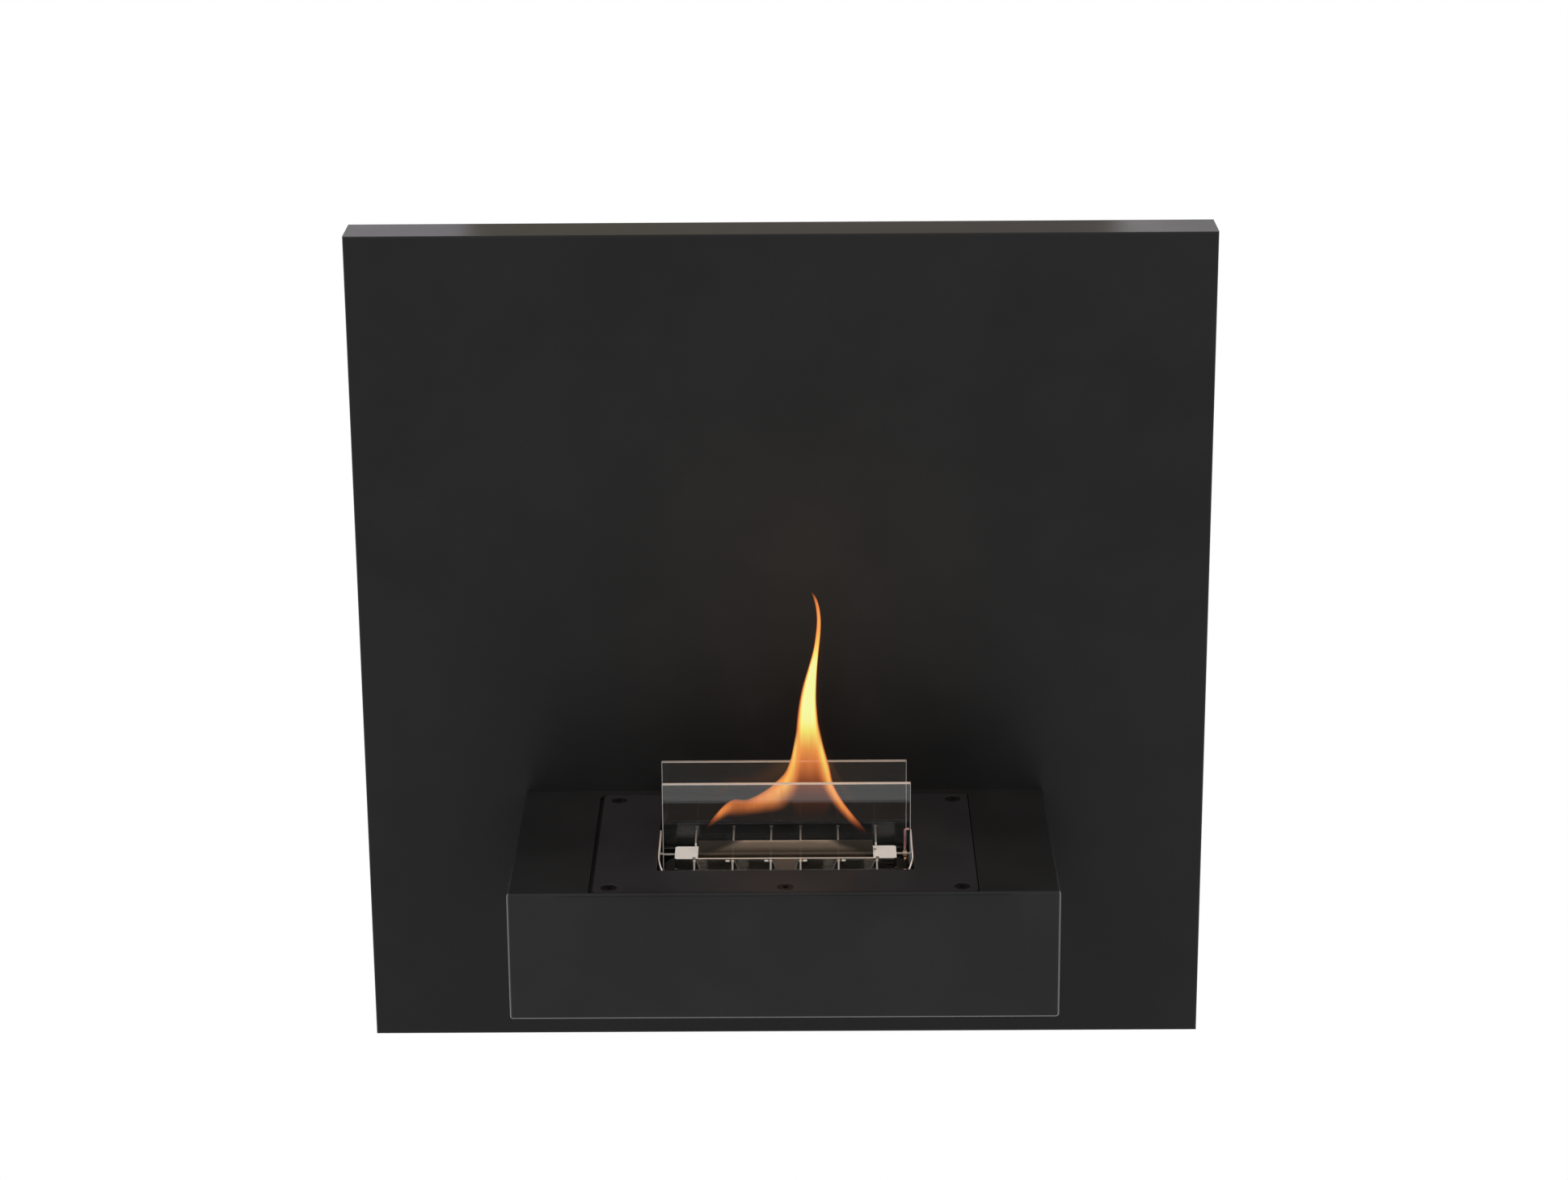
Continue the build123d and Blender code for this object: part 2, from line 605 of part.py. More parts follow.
# ---------------------------------------------------------------- glass and its carriers
for side, name in ((-1, "front"), (1, "rear")):
    with BuildPart() as glass:
        with BuildSketch(burner_level(glass_bottom_z)):
            with Locations((-side * glass_play, side * glass_offset)):
                Rectangle(glass_width, glass_sheet)
        extrude(amount=glass_height)
        chamfer(glass.edges(), glass_edge)
    save(glass.part, f"{name}_glass")

    # Saddle wires: level from the neck, down under the pane, and level again to the tray.
    with BuildPart() as saddles:
        for x in saddle_xs:
            with BuildLine(Plane(origin=(module_shift + x, burner_y, 0), x_dir=(0, side, 0),
                                 z_dir=(side, 0, 0))) as saddle:
                Polyline(
                    (neck_depth / 2, saddle_z),
                    (glass_offset - saddle_floor / 2 - saddle_slope, saddle_z),
                    (glass_offset - saddle_floor / 2, saddle_floor_z),
                    (glass_offset + saddle_floor / 2, saddle_floor_z),
                    (glass_offset + saddle_floor / 2 + saddle_rise, saddle_z),
                    (tray_depth / 2, saddle_z),
                )
            with BuildSketch(Plane(saddle.line @ 0, z_dir=saddle.line % 0)):
                Circle(saddle_wire_radius)
            sweep(transition=Transition.RIGHT)
    save(saddles.part, f"{name}_saddle_wires")

# Feet: rods along the neck's long walls, one beside each saddle wire, leaning to the middle.
with BuildPart() as wire_feet:
    for side in (-1, 1):
        for x in saddle_xs:
            inward = -1 if x > 0 else 1
            foot_y = burner_y + side * (neck_depth / 2 + foot_radius - foot_bed)
            foot_top = Vector(module_shift + x + inward * foot_beside, foot_y, burner_z - foot_drop)
            foot_end = foot_top + Vector(inward * foot_lean, 0, -foot_height)
            with BuildSketch(Plane(foot_top, z_dir=foot_end - foot_top)):
                Circle(foot_radius)
            extrude(amount=(foot_end - foot_top).length)
    with Locations((module_shift, burner_y, tank_top_z)):
        Box(neck_width, neck_depth, tank_height, mode=Mode.SUBTRACT)
save(wire_feet.part, "wire_feet")

for side, name in ((-1, "left"), (1, "right")):
    # Bow spring: flat where the bracket holds it, then curving in past the panes' ends.
    with BuildPart() as bow_spring:
        bow_mid_x = side * (bow_inner_x + bow_sheet / 2)
        with BuildSketch(burner_level(axle_z - bow_height / 2)):
            with BuildLine():
                Line((bow_mid_x, -bow_flat / 2), (bow_mid_x, bow_flat / 2))
                for end, reach, sag in ((-1, bow_front_reach, bow_front_sag),
                                        (1, bow_rear_reach, bow_rear_sag)):
                    TangentArc((bow_mid_x, end * bow_flat / 2), (bow_mid_x - side * sag, end * reach),
                               tangent=(0, end))
            trace(line_width=bow_sheet)
        extrude(amount=bow_height)
        with BuildSketch(burner_section(0)):
            Circle(bow_hole_radius)
        extrude(amount=side * tray_width, mode=Mode.SUBTRACT)
    save(bow_spring.part, f"bow_spring_{name}")

    # Bracket on the tray's end wall: two arms hold the bow, and a bore holds the axle's end.
    with BuildPart() as end_bracket:
        with BuildSketch(burner_section(side * bracket_x)):
            with Locations((0, plate_under_z - bracket_top_gap - axle_z)):
                Rectangle(bracket_width, bracket_height, align=(Align.CENTER, Align.MAX))
        extrude(amount=side * bracket_sheet)
        with BuildSketch(burner_section(side * bow_outer_x)):
            with GridLocations(bow_flat - bracket_arm, 1, 2, 1):
                Rectangle(bracket_arm, bow_height)
        extrude(amount=side * (bracket_x - bow_outer_x))
        with BuildSketch(burner_section(0)):
            Circle(bore_radius)
        extrude(amount=side * tray_width, mode=Mode.SUBTRACT)
    save(end_bracket.part, f"end_bracket_{name}")
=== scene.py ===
"""Looks of a wall-hung bioethanol fireplace: its finishes, fine pieces, flame, studio and camera.

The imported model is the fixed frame, in metres: +X to the viewer's right, +Y into the wall, +Z up,
with the origin on the wall between the wall rail's fixing holes. Sizes written below are in
millimetres, and ``mm`` turns them into Blender's metres. Places that a finish is given from the
frame, such as its low_z or its middle, are in metres already.
"""

from __future__ import annotations

import logging
import math
from dataclasses import dataclass, field
from enum import Enum
from typing import Iterable, Mapping, Sequence

import bmesh
import bpy
from mathutils import Matrix, Vector
from mathutils import noise as mathnoise

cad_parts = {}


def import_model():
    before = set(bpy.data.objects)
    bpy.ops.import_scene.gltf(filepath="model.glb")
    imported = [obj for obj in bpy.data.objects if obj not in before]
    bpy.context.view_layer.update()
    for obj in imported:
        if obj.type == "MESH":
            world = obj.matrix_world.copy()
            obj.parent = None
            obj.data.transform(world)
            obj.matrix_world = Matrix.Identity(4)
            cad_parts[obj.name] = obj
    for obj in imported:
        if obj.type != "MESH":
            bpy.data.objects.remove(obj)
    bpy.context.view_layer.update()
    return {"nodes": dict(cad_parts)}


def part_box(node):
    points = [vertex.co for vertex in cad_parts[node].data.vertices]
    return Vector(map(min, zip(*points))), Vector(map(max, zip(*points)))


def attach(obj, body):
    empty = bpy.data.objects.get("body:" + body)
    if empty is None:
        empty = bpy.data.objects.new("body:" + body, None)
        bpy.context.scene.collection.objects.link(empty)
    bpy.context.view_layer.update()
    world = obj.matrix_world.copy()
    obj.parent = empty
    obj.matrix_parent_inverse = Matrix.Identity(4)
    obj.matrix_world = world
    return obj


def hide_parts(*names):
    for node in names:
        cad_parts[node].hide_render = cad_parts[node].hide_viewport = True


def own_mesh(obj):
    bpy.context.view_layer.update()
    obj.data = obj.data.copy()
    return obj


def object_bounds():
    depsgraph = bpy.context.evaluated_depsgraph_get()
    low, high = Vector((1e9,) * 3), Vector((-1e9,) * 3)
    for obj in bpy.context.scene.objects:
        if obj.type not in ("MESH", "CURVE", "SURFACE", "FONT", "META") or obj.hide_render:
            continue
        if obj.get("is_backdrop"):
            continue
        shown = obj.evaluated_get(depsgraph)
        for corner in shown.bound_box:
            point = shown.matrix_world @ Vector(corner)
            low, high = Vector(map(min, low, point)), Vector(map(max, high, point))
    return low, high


LOG = logging.getLogger("fireplace")
FIXED_BODY = "root"
MM = 0.001

Colour = tuple[float, float, float]
Point = tuple[float, float, float]
Tone = Colour | bpy.types.NodeSocket
Stops = tuple[tuple[float, Colour], ...]
Spots = tuple[tuple[float, float, float], ...]

BLACK: Colour = (0.0, 0.0, 0.0)
WHITE: Colour = (1.0, 1.0, 1.0)


def mm(value: float) -> float:
    """Turns millimetres into metres."""
    return value * MM


def scaled(colour: Colour, share: float) -> Colour:
    """The colour made lighter or darker by a share."""
    return tuple(part * share for part in colour)


def opaque(tone: Tone) -> Tone | tuple[float, float, float, float]:
    """A plain colour with full alpha added, and a socket as it is."""
    return (*tone, 1.0) if isinstance(tone, tuple) else tone


class Slot(Enum):
    """The material slots that the scene's own pieces belong to."""

    FIBRE = "ceramic_fibre"
    WIRE = "bright_wire"
    GLASS = "clear_glass"


class Along(Enum):
    """The direction that a brushed, drawn or rolled grain runs in."""

    X = (1.0, 0.0, 0.0)
    Y = (0.0, 1.0, 0.0)
    Z = (0.0, 0.0, 1.0)


class Rays(Enum):
    """The kinds of ray that an object can be hidden from."""

    CAMERA = "visible_camera"
    DIFFUSE = "visible_diffuse"
    GLOSSY = "visible_glossy"
    TRANSMISSION = "visible_transmission"
    SHADOW = "visible_shadow"


# ------------------------------------------------------------------------------ shader writing
class Signal:
    """A number that flows through a material's nodes and takes ordinary arithmetic."""

    def __init__(self, book: ShaderBook, socket: bpy.types.NodeSocket) -> None:
        """Wraps an output socket of the given material."""
        self.book = book
        self.socket = socket

    def _math(self, operation: str, left: Level, right: Level) -> Signal:
        """Adds a Math node.

        Args:
            operation: the Math node's operation.
            left: its first value.
            right: its second value.

        Returns:
            The node's result.
        """
        return self.book.node("ShaderNodeMath", {"operation": operation}, {0: left, 1: right}).signal(0)

    def __add__(self, other: Level) -> Signal:
        """self + other."""
        return self._math("ADD", self, other)

    def __radd__(self, other: float) -> Signal:
        """other + self."""
        return self._math("ADD", other, self)

    def __sub__(self, other: Level) -> Signal:
        """self - other."""
        return self._math("SUBTRACT", self, other)

    def __rsub__(self, other: float) -> Signal:
        """other - self."""
        return self._math("SUBTRACT", other, self)

    def __mul__(self, other: Level) -> Signal:
        """self * other."""
        return self._math("MULTIPLY", self, other)

    def __rmul__(self, other: float) -> Signal:
        """other * self."""
        return self._math("MULTIPLY", other, self)

    def __truediv__(self, other: Level) -> Signal:
        """self / other."""
        return self._math("DIVIDE", self, other)

    def __pow__(self, other: float) -> Signal:
        """self to a power."""
        return self._math("POWER", self, other)

    def size(self) -> Signal:
        """The signal without its sign."""
        return (self ** 2.0) ** 0.5

    def above(self, level: float) -> Signal:
        """1 where the signal is above a level, and 0 elsewhere."""
        return self._math("GREATER_THAN", self, level)

    def ramp(self, low: float, high: float, to_low: float = 0.0, to_high: float = 1.0) -> Signal:
        """Maps a range smoothly onto another and holds it there.

        Args:
            low: the value that gives to_low.
            high: the value that gives to_high.
            to_low: the result at low and past it.
            to_high: the result at high and past it.

        Returns:
            The mapped signal.
        """
        settings = {"interpolation_type": "SMOOTHSTEP", "clamp": True}
        values = {"Value": self, "From Min": low, "From Max": high, "To Min": to_low, "To Max": to_high}
        return self.book.node("ShaderNodeMapRange", settings, values).signal("Result")


Level = Signal | float


class NodeGrip:
    """A node just made, with handy access to its outputs."""

    def __init__(self, book: ShaderBook, node: bpy.types.Node) -> None:
        """Wraps a node of the given material."""
        self.book = book
        self.node = node

    def out(self, key: int | str) -> bpy.types.NodeSocket:
        """The output socket with that name or number."""
        return self.node.outputs[key]

    def signal(self, key: int | str) -> Signal:
        """The output with that name or number, as a signal."""
        return Signal(self.book, self.out(key))


class ShaderBook:
    """Writes the nodes of one material or world."""

    def __init__(self, tree: bpy.types.NodeTree) -> None:
        """Starts from an empty node tree."""
        self.tree = tree
        tree.nodes.clear()

    def node(self, kind: str, settings: Mapping[str, object] | None = None,
             values: Mapping[int | str, object] | None = None) -> NodeGrip:
        """Makes any node: its settings first, then the values or links of its sockets.

        Args:
            kind: the node's type.
            settings: its properties; "stops" holds a ramp's positions and colours.
            values: a value, socket or signal for each input that isn't left as it is.

        Returns:
            A grip on the new node.
        """
        made = self.tree.nodes.new(kind)
        for name, setting in (settings or {}).items():
            if name == "stops":
                self._set_stops(made, setting)
            else:
                setattr(made, name, setting)
        for key, value in (values or {}).items():
            source = value.socket if isinstance(value, Signal) else value
            if isinstance(source, bpy.types.NodeSocket):
                self.tree.links.new(source, made.inputs[key])
            else:
                made.inputs[key].default_value = source
        return NodeGrip(self, made)

    @staticmethod
    def _set_stops(made: bpy.types.Node, stops: Stops) -> None:
        """Gives a colour ramp its stops.

        Args:
            made: the ramp node.
            stops: the position and colour of each stop.
        """
        elements = made.color_ramp.elements
        while len(elements) < len(stops):
            elements.new(0.5)
        for element, (position, colour) in zip(elements, stops):
            element.position = position
            element.color = opaque(colour)

    def place(self) -> bpy.types.NodeSocket:
        """The point being shaded, in the object's own metres."""
        return self.node("ShaderNodeTexCoord").out("Object")

    def moved(self, operation: str, by: Point) -> bpy.types.NodeSocket:
        """The point being shaded, shifted or scaled by axis.

        Args:
            operation: the Vector Math node's operation.
            by: the shift or the scale along X, Y and Z.

        Returns:
            The moved point.
        """
        return self.node("ShaderNodeVectorMath", {"operation": operation}, {0: self.place(), 1: by}).out(0)

    def axis(self, name: str) -> Signal:
        """One coordinate of the point being shaded, in metres."""
        return self.node("ShaderNodeSeparateXYZ", None, {0: self.place()}).signal(name)

    def facing(self, name: str) -> Signal:
        """One coordinate of the object's own surface normal."""
        normal = self.node("ShaderNodeTexCoord").out("Normal")
        return self.node("ShaderNodeSeparateXYZ", None, {0: normal}).signal(name)

    def seen(self) -> Signal:
        """1 for rays that show a thing to the camera, straight or by gloss or glass, and 0 for others."""
        rays = self.node("ShaderNodeLightPath")
        camera, glossy, through = (rays.signal(name) for name in (
            "Is Camera Ray", "Is Glossy Ray", "Is Transmission Ray"))
        return (camera + glossy + through).ramp(0.0, 1.0)

    def noise(self, grain: float, detail: float = 2.0, roughness: float = 0.5,
              along: Along | None = None, stretch: float = 40.0) -> Signal:
        """Smooth noise whose features are about one grain across.

        Args:
            grain: the size of a feature.
            detail: how many finer octaves are added.
            roughness: how strong the finer octaves are.
            along: the direction that the grain is drawn out in, if any.
            stretch: how many times longer than wide a drawn-out feature is.

        Returns:
            The noise, about 0.5 on average.
        """
        per_metre = 1.0 / mm(grain)
        drawn_out = along.value if along else (0.0, 0.0, 0.0)
        vector = self.moved("MULTIPLY", tuple(per_metre / (stretch if part else 1.0) for part in drawn_out))
        values = {"Vector": vector, "Scale": 1.0, "Detail": detail, "Roughness": roughness}
        return self.node("ShaderNodeTexNoise", None, values).signal(0)

    def specks(self, spacing: float, size: float, seed: float) -> Signal:
        """Small sparse specks, such as dust.

        Args:
            spacing: the distance between the cells that hold a speck.
            size: a speck's radius as a share of the spacing.
            seed: moves the pattern, so that two of them differ.

        Returns:
            1 in a speck and 0 outside it.
        """
        vector = self.moved("ADD", (seed, seed * 0.7, seed * 1.3))
        values = {"Vector": vector, "Scale": 1.0 / mm(spacing)}
        distance = self.node("ShaderNodeTexVoronoi", {"feature": "F1"}, values).signal("Distance")
        return distance.ramp(size, size * 0.5)

    def blend(self, factor: Level, first: Tone, second: Tone) -> bpy.types.NodeSocket:
        """Mixes two colours.

        Args:
            factor: 0 gives the first colour and 1 the second.
            first: the first colour.
            second: the second colour.

        Returns:
            The mixed colour.
        """
        settings = {"data_type": "RGBA", "clamp_factor": True}
        return self.node("ShaderNodeMix", settings, {0: factor, 6: opaque(first), 7: opaque(second)}).out(2)

    def tint(self, share: Signal, stops: Stops) -> bpy.types.NodeSocket:
        """The colour at a share of the way along a ramp of colours."""
        return self.node("ShaderNodeValToRGB", {"stops": stops}, {0: share}).out(0)

    def bump(self, height: Signal, depth: float, strength: float = 1.0,
             under: bpy.types.NodeSocket | None = None) -> bpy.types.NodeSocket:
        """Raises the surface by a height.

        Args:
            height: the height, from 0 to 1.
            depth: how far 1 stands above 0.
            strength: how much of it shows.
            under: the normal of a coarser bump below this one.

        Returns:
            The new normal.
        """
        values: dict[int | str, object] = {"Height": height, "Distance": mm(depth), "Strength": strength}
        if under is not None:
            values["Normal"] = under
        return self.node("ShaderNodeBump", None, values).out(0)

    def principled(self, values: Mapping[int | str, object]) -> NodeGrip:
        """Adds the Principled shader with the given sockets set."""
        return self.node("ShaderNodeBsdfPrincipled", None, values)

    def mixed(self, factor: Level, first: NodeGrip, second: NodeGrip) -> NodeGrip:
        """Mixes two shaders.

        Args:
            factor: 0 gives the first shader and 1 the second.
            first: the first shader.
            second: the second shader.

        Returns:
            The mixed shader.
        """
        return self.node("ShaderNodeMixShader", None, {0: factor, 1: first.out(0), 2: second.out(0)})

    def surface(self, shader: NodeGrip, output: str = "ShaderNodeOutputMaterial") -> None:
        """Sends a shader to the output of the material, or of the world if that is named."""
        self.node(output, None, {"Surface": shader.out(0)})

    def cover(self, values: Mapping[int | str, object]) -> None:
        """Makes the whole surface one Principled shader with the given sockets set."""
        self.surface(self.principled(values))


# ------------------------------------------------------------------------------ finishes
@dataclass(frozen=True)
class Finish:
    """A surface finish that can be made into a Blender material."""

    name: str

    def material(self) -> bpy.types.Material:
        """Makes a material with this finish.

        Returns:
            The new node-based material.
        """
        made = bpy.data.materials.new(self.name)
        made.use_nodes = True
        self.paint(ShaderBook(made.node_tree))
        return made

    def paint(self, book: ShaderBook) -> None:
        """Writes the finish's nodes."""
        raise NotImplementedError


@dataclass(frozen=True)
class PowderCoat(Finish):
    """Fine-textured matt powder coat on sheet steel, with the sizes of its texture."""

    colour: Colour = (0.0044, 0.0044, 0.0045)
    dust: Colour = (0.17, 0.16, 0.14)
    gloss: float = 0.215
    roughness: float = 0.42
    grain: float = 0.5
    grain_depth: float = 0.035
    peel: float = 3.4
    peel_depth: float = 0.05
    cloud: float = 95.0
    dust_spacing: float = 21.0
    dust_share: float = 0.014
    dust_seed: float = 3.1
    dust_patch: float = 40.0
    polish_roughness: float = 0.12
    polish_index: float = 1.6

    def paint(self, book: ShaderBook) -> None:
        """Fine sandy grain over a gentle orange peel, with slight clouding and a little dust."""
        grain = book.noise(self.grain, detail=3.0, roughness=0.6)
        peel = book.noise(self.peel, detail=1.0)
        cloud = book.noise(self.cloud, detail=3.0, roughness=0.6)
        specks = book.specks(self.dust_spacing, self.dust_share, self.dust_seed)
        dust = specks * book.noise(self.dust_patch).above(0.54)
        lighter = tuple(part * 1.4 + 0.0008 for part in self.colour)
        coat = book.blend(cloud.ramp(0.3, 0.72), self.colour, lighter)
        coat = book.blend(grain.ramp(0.45, 0.8) * 0.35, coat, scaled(self.colour, 2.0))
        coat = book.blend(dust * 0.55, coat, self.dust)
        rough = self.roughness + (cloud - 0.5) * 0.10 + (grain - 0.5) * 0.12
        under = book.bump(peel, self.peel_depth, 0.35)
        book.cover({
            "Base Color": coat, "Roughness": rough, "Specular IOR Level": self.gloss,
            "Normal": book.bump(grain, self.grain_depth, 0.55, under),
            "Coat Weight": self.polish(book), "Coat Roughness": self.polish_roughness,
            "Coat IOR": self.polish_index})

    def polish(self, book: ShaderBook) -> Level:
        """How far handling has polished the coat, which is nowhere on plain sheet."""
        return 0.0


@dataclass(frozen=True)
class FoldedCoat(PowderCoat):
    """Powder coat on a folded box, polished by handling along the folds round its front."""

    low: Point = (0.0, 0.0, 0.0)
    high: Point = (0.0, 0.0, 0.0)
    bend: float = 2.5
    worn_share: float = 0.5
    fade_share: float = 0.6
    side_polish: float = 0.85
    base_polish: float = 0.65

    def polish(self, book: ShaderBook) -> Level:
        """Works out where the side folds and the low front fold are polished.

        Args:
            book: the material.

        Returns:
            How far the coat is polished, from 0 to 1, on the outer part of each fold.
        """
        bend = mm(self.bend)
        worn, fade = bend * self.worn_share, bend * self.fade_share
        past_bend = bend * 1.2
        middle, half = (self.low[0] + self.high[0]) / 2, (self.high[0] - self.low[0]) / 2
        side = ((book.axis("X") - middle) ** 2.0).ramp((half - fade) ** 2, (half - worn) ** 2)
        front = book.axis("Y").ramp(self.low[1] + past_bend, self.low[1] + bend)
        top = book.axis("Z").ramp(self.high[2] - past_bend, self.high[2] - bend)
        base = book.axis("Z").ramp(self.low[2] + fade, self.low[2] + worn)
        sides = side * (front + top) * self.side_polish
        return (sides + base * front * self.base_polish).ramp(0.0, 1.0)


@dataclass(frozen=True)
class BrushedSteel(Finish):
    """Stainless steel with a brushed or rolled grain, warmed here and there by heat."""

    colour: Colour = (0.60, 0.555, 0.505)
    warm: Colour = (0.50, 0.42, 0.33)
    warmth: float = 0.45
    metal: float = 1.0
    # How much paler and less metallic upward faces are, and their colour: a painted highlight, partly a
    # matt grinding.
    top_highlight: float = 0.0
    ground_and_painted_light: Colour = (0.74, 0.69, 0.63)
    roughness: float = 0.27
    along: Along = Along.X
    line: float = 0.25
    line_stretch: float = 60.0
    line_depth: float = 0.01
    heat_patch: float = 16.0

    def paint(self, book: ShaderBook) -> None:
        """Drawn-out grain, straw-coloured patches of heat, and upward faces painted paler and less
        metallic: partly a matt grinding, partly a painted highlight.
        """
        grain = book.noise(self.line, detail=3.0, along=self.along, stretch=self.line_stretch)
        patch = book.noise(self.heat_patch, detail=3.0, roughness=0.6)
        tone = book.blend(patch.ramp(0.42, 0.68) * self.warmth, self.colour, self.warm)
        tone = book.blend(grain.ramp(0.35, 0.7) * 0.25, tone, scaled(self.colour, 0.72))
        rough = self.roughness + (grain - 0.5) * 0.22 + (patch - 0.5) * 0.10
        metal: Level = self.metal
        # Upward faces get a paler colour and less metal: a painted highlight, partly a matt grinding.
        if self.top_highlight > 0.0:
            lit_tops = book.facing("Z").ramp(0.6, 0.85)
            ground_and_painted_light = book.blend(grain.ramp(0.3, 0.7), scaled(self.ground_and_painted_light, 0.95), self.ground_and_painted_light)
            tone = book.blend(lit_tops, tone, ground_and_painted_light)
            metal = self.metal - lit_tops * self.top_highlight
            rough = rough + lit_tops * 0.2
        tone, metal = self.marks(book, tone, metal)
        book.cover({
            "Base Color": tone, "Metallic": metal, "Roughness": rough,
            "Normal": book.bump(grain, self.line_depth, 0.4)})

    def marks(self, book: ShaderBook, tone: Tone, metal: Level) -> tuple[Tone, Level]:
        """Adds marks of the piece's own; plain steel has none.

        Args:
            book: the material.
            tone: its colour so far.
            metal: how metallic it is so far.

        Returns:
            The colour and the metal with the marks.
        """
        return tone, metal


@dataclass(frozen=True)
class NeckSteel(BrushedSteel):
    """The neck's steel: pips painted pale as a painted highlight, and brown patches on its long sides
    painted as reflections of the flame.

    Each patch is a place along X from the middle, half a width and a strength.
    """

    middle: Point = (0.0, 0.0, 0.0)
    wall_y: float = 12.5
    pip_proud: float = 0.06
    # Brown patches painted on the long sides: painted reflections of the flame.
    patches: Spots = ((0.0, 8.0, 1.0), (32.0, 4.0, 0.32), (62.5, 4.0, 0.33))
    patch_fade: float = 1.5
    rolled: float = 0.8
    # The brown of the painted flame reflections, and the pale colour of the painted highlight on the pips.
    brown: Colour = (0.17, 0.115, 0.085)
    pip_highlight: Colour = (0.86, 0.83, 0.79)

    def marks(self, book: ShaderBook, tone: Tone, metal: Level) -> tuple[Tone, Level]:
        """Adds the painted reflections of the flame and the painted highlight on the pips.

        Args:
            book: the material.
            tone: its colour so far.
            metal: how metallic it is so far.

        Returns:
            The colour and the metal with the marks.
        """
        off_x = (book.axis("X") - self.middle[0]).size()
        off_y = (book.axis("Y") - self.middle[1]).size()
        # Painted reflections of the flame: brown patches along the long sides, kept off upward faces.
        flame_reflection: Level = 0.0
        for place, half, strength in self.patches:
            gap = (off_x - mm(place)).size()
            patch = gap.ramp(mm(half + self.patch_fade), mm(half - self.patch_fade))
            flame_reflection = flame_reflection + patch * strength
        rolled = book.noise(self.rolled, detail=1.0, along=Along.X).ramp(0.35, 0.6, 0.6, 1.0)
        flame_reflection = flame_reflection * rolled * book.facing("Z").ramp(0.5, 0.2)
        # The pips are painted pale and far less metallic: a painted highlight.
        pips = off_y.above(mm(self.wall_y + self.pip_proud))
        tone = book.blend(pips, book.blend(flame_reflection, tone, self.brown), self.pip_highlight)
        return tone, (metal - flame_reflection * 0.8) * (1.0 - pips * 0.85)


@dataclass(frozen=True)
class BlockSteel(BrushedSteel):
    """The end blocks' steel, with painted shade round their small holes.

    Each spot of painted shade is a place along X and Y in metres and a radius in millimetres.
    """

    # Places of painted shade round the small holes, and their dark colour.
    shade_spots: Spots = ()
    hole_shade: Colour = (0.02, 0.018, 0.016)

    def marks(self, book: ShaderBook, tone: Tone, metal: Level) -> tuple[Tone, Level]:
        """Adds the painted shade round the holes.

        Args:
            book: the material.
            tone: its colour so far.
            metal: how metallic it is so far.

        Returns:
            The colour and the metal with the marks.
        """
        # Painted shade round each small hole, darkest at its middle.
        for x, y, radius in self.shade_spots:
            gap = ((book.axis("X") - x) ** 2.0 + (book.axis("Y") - y) ** 2.0) ** 0.5
            tone = book.blend(gap.ramp(mm(radius * 1.3), mm(radius * 0.6)), tone, self.hole_shade)
        return tone, metal


@dataclass(frozen=True)
class HeatedFlap(Finish):
    """Sheet steel browned by heat, with painted flame light brightest along its free edge, painted shade in
    its outer corners, and darker towards its hinge.
    """

    # Painted light: a highlight along the free edge, flame light in two bands, a darker tone towards the
    # hinge, and shade in the outer corners.
    edge: Colour = (0.62, 0.50, 0.40)
    bright: Colour = (0.38, 0.275, 0.195)
    mid: Colour = (0.28, 0.205, 0.15)
    dark_tone: Colour = (0.075, 0.055, 0.040)
    corner: Colour = (0.040, 0.031, 0.024)
    free_z: float = 0.0
    hinge_z: float = -0.01
    middle_x: float = 0.0
    half_x: float = 0.1
    corner_run: float = 2.2
    metal: float = 0.3
    roughness: float = 0.5
    heat_patch: float = 9.0
    line: float = 0.3
    line_depth: float = 0.012

    def paint(self, book: ShaderBook) -> None:
        """Bands of painted flame light up the flap, darker towards the hinge, with painted shade in its
        outer corners, under a fine rolled grain.
        """
        span = self.free_z - self.hinge_z
        drop = (self.free_z - book.axis("Z")) / span
        inward = (self.half_x - (book.axis("X") - self.middle_x).size()) / span
        patch = book.noise(self.heat_patch, detail=3.0, roughness=0.6)
        # Painted shadow of the end blocks, falling in the flap's outer corners.
        flame_lit = (inward + drop * self.corner_run + (patch - 0.5) * 1.2).ramp(2.6, 3.7)
        # Painted flame light, fading down the flap and darker towards the hinge, with a painted highlight
        # along the free edge.
        tone = book.blend(drop.ramp(0.05, 0.25), self.bright, self.mid)
        tone = book.blend(drop.ramp(0.3, 1.0), tone, self.dark_tone)
        tone = book.blend(drop.ramp(0.04, 0.01), tone, self.edge)
        tone = book.blend(flame_lit, self.corner, tone)
        grain = book.noise(self.line, detail=3.0, along=Along.X)
        tone = book.blend(grain.ramp(0.35, 0.7) * 0.3, tone, self.dark_tone)
        book.cover({
            "Base Color": tone, "Metallic": self.metal, "Roughness": self.roughness + (grain - 0.5) * 0.2,
            "Normal": book.bump(grain, self.line_depth, 0.4)})


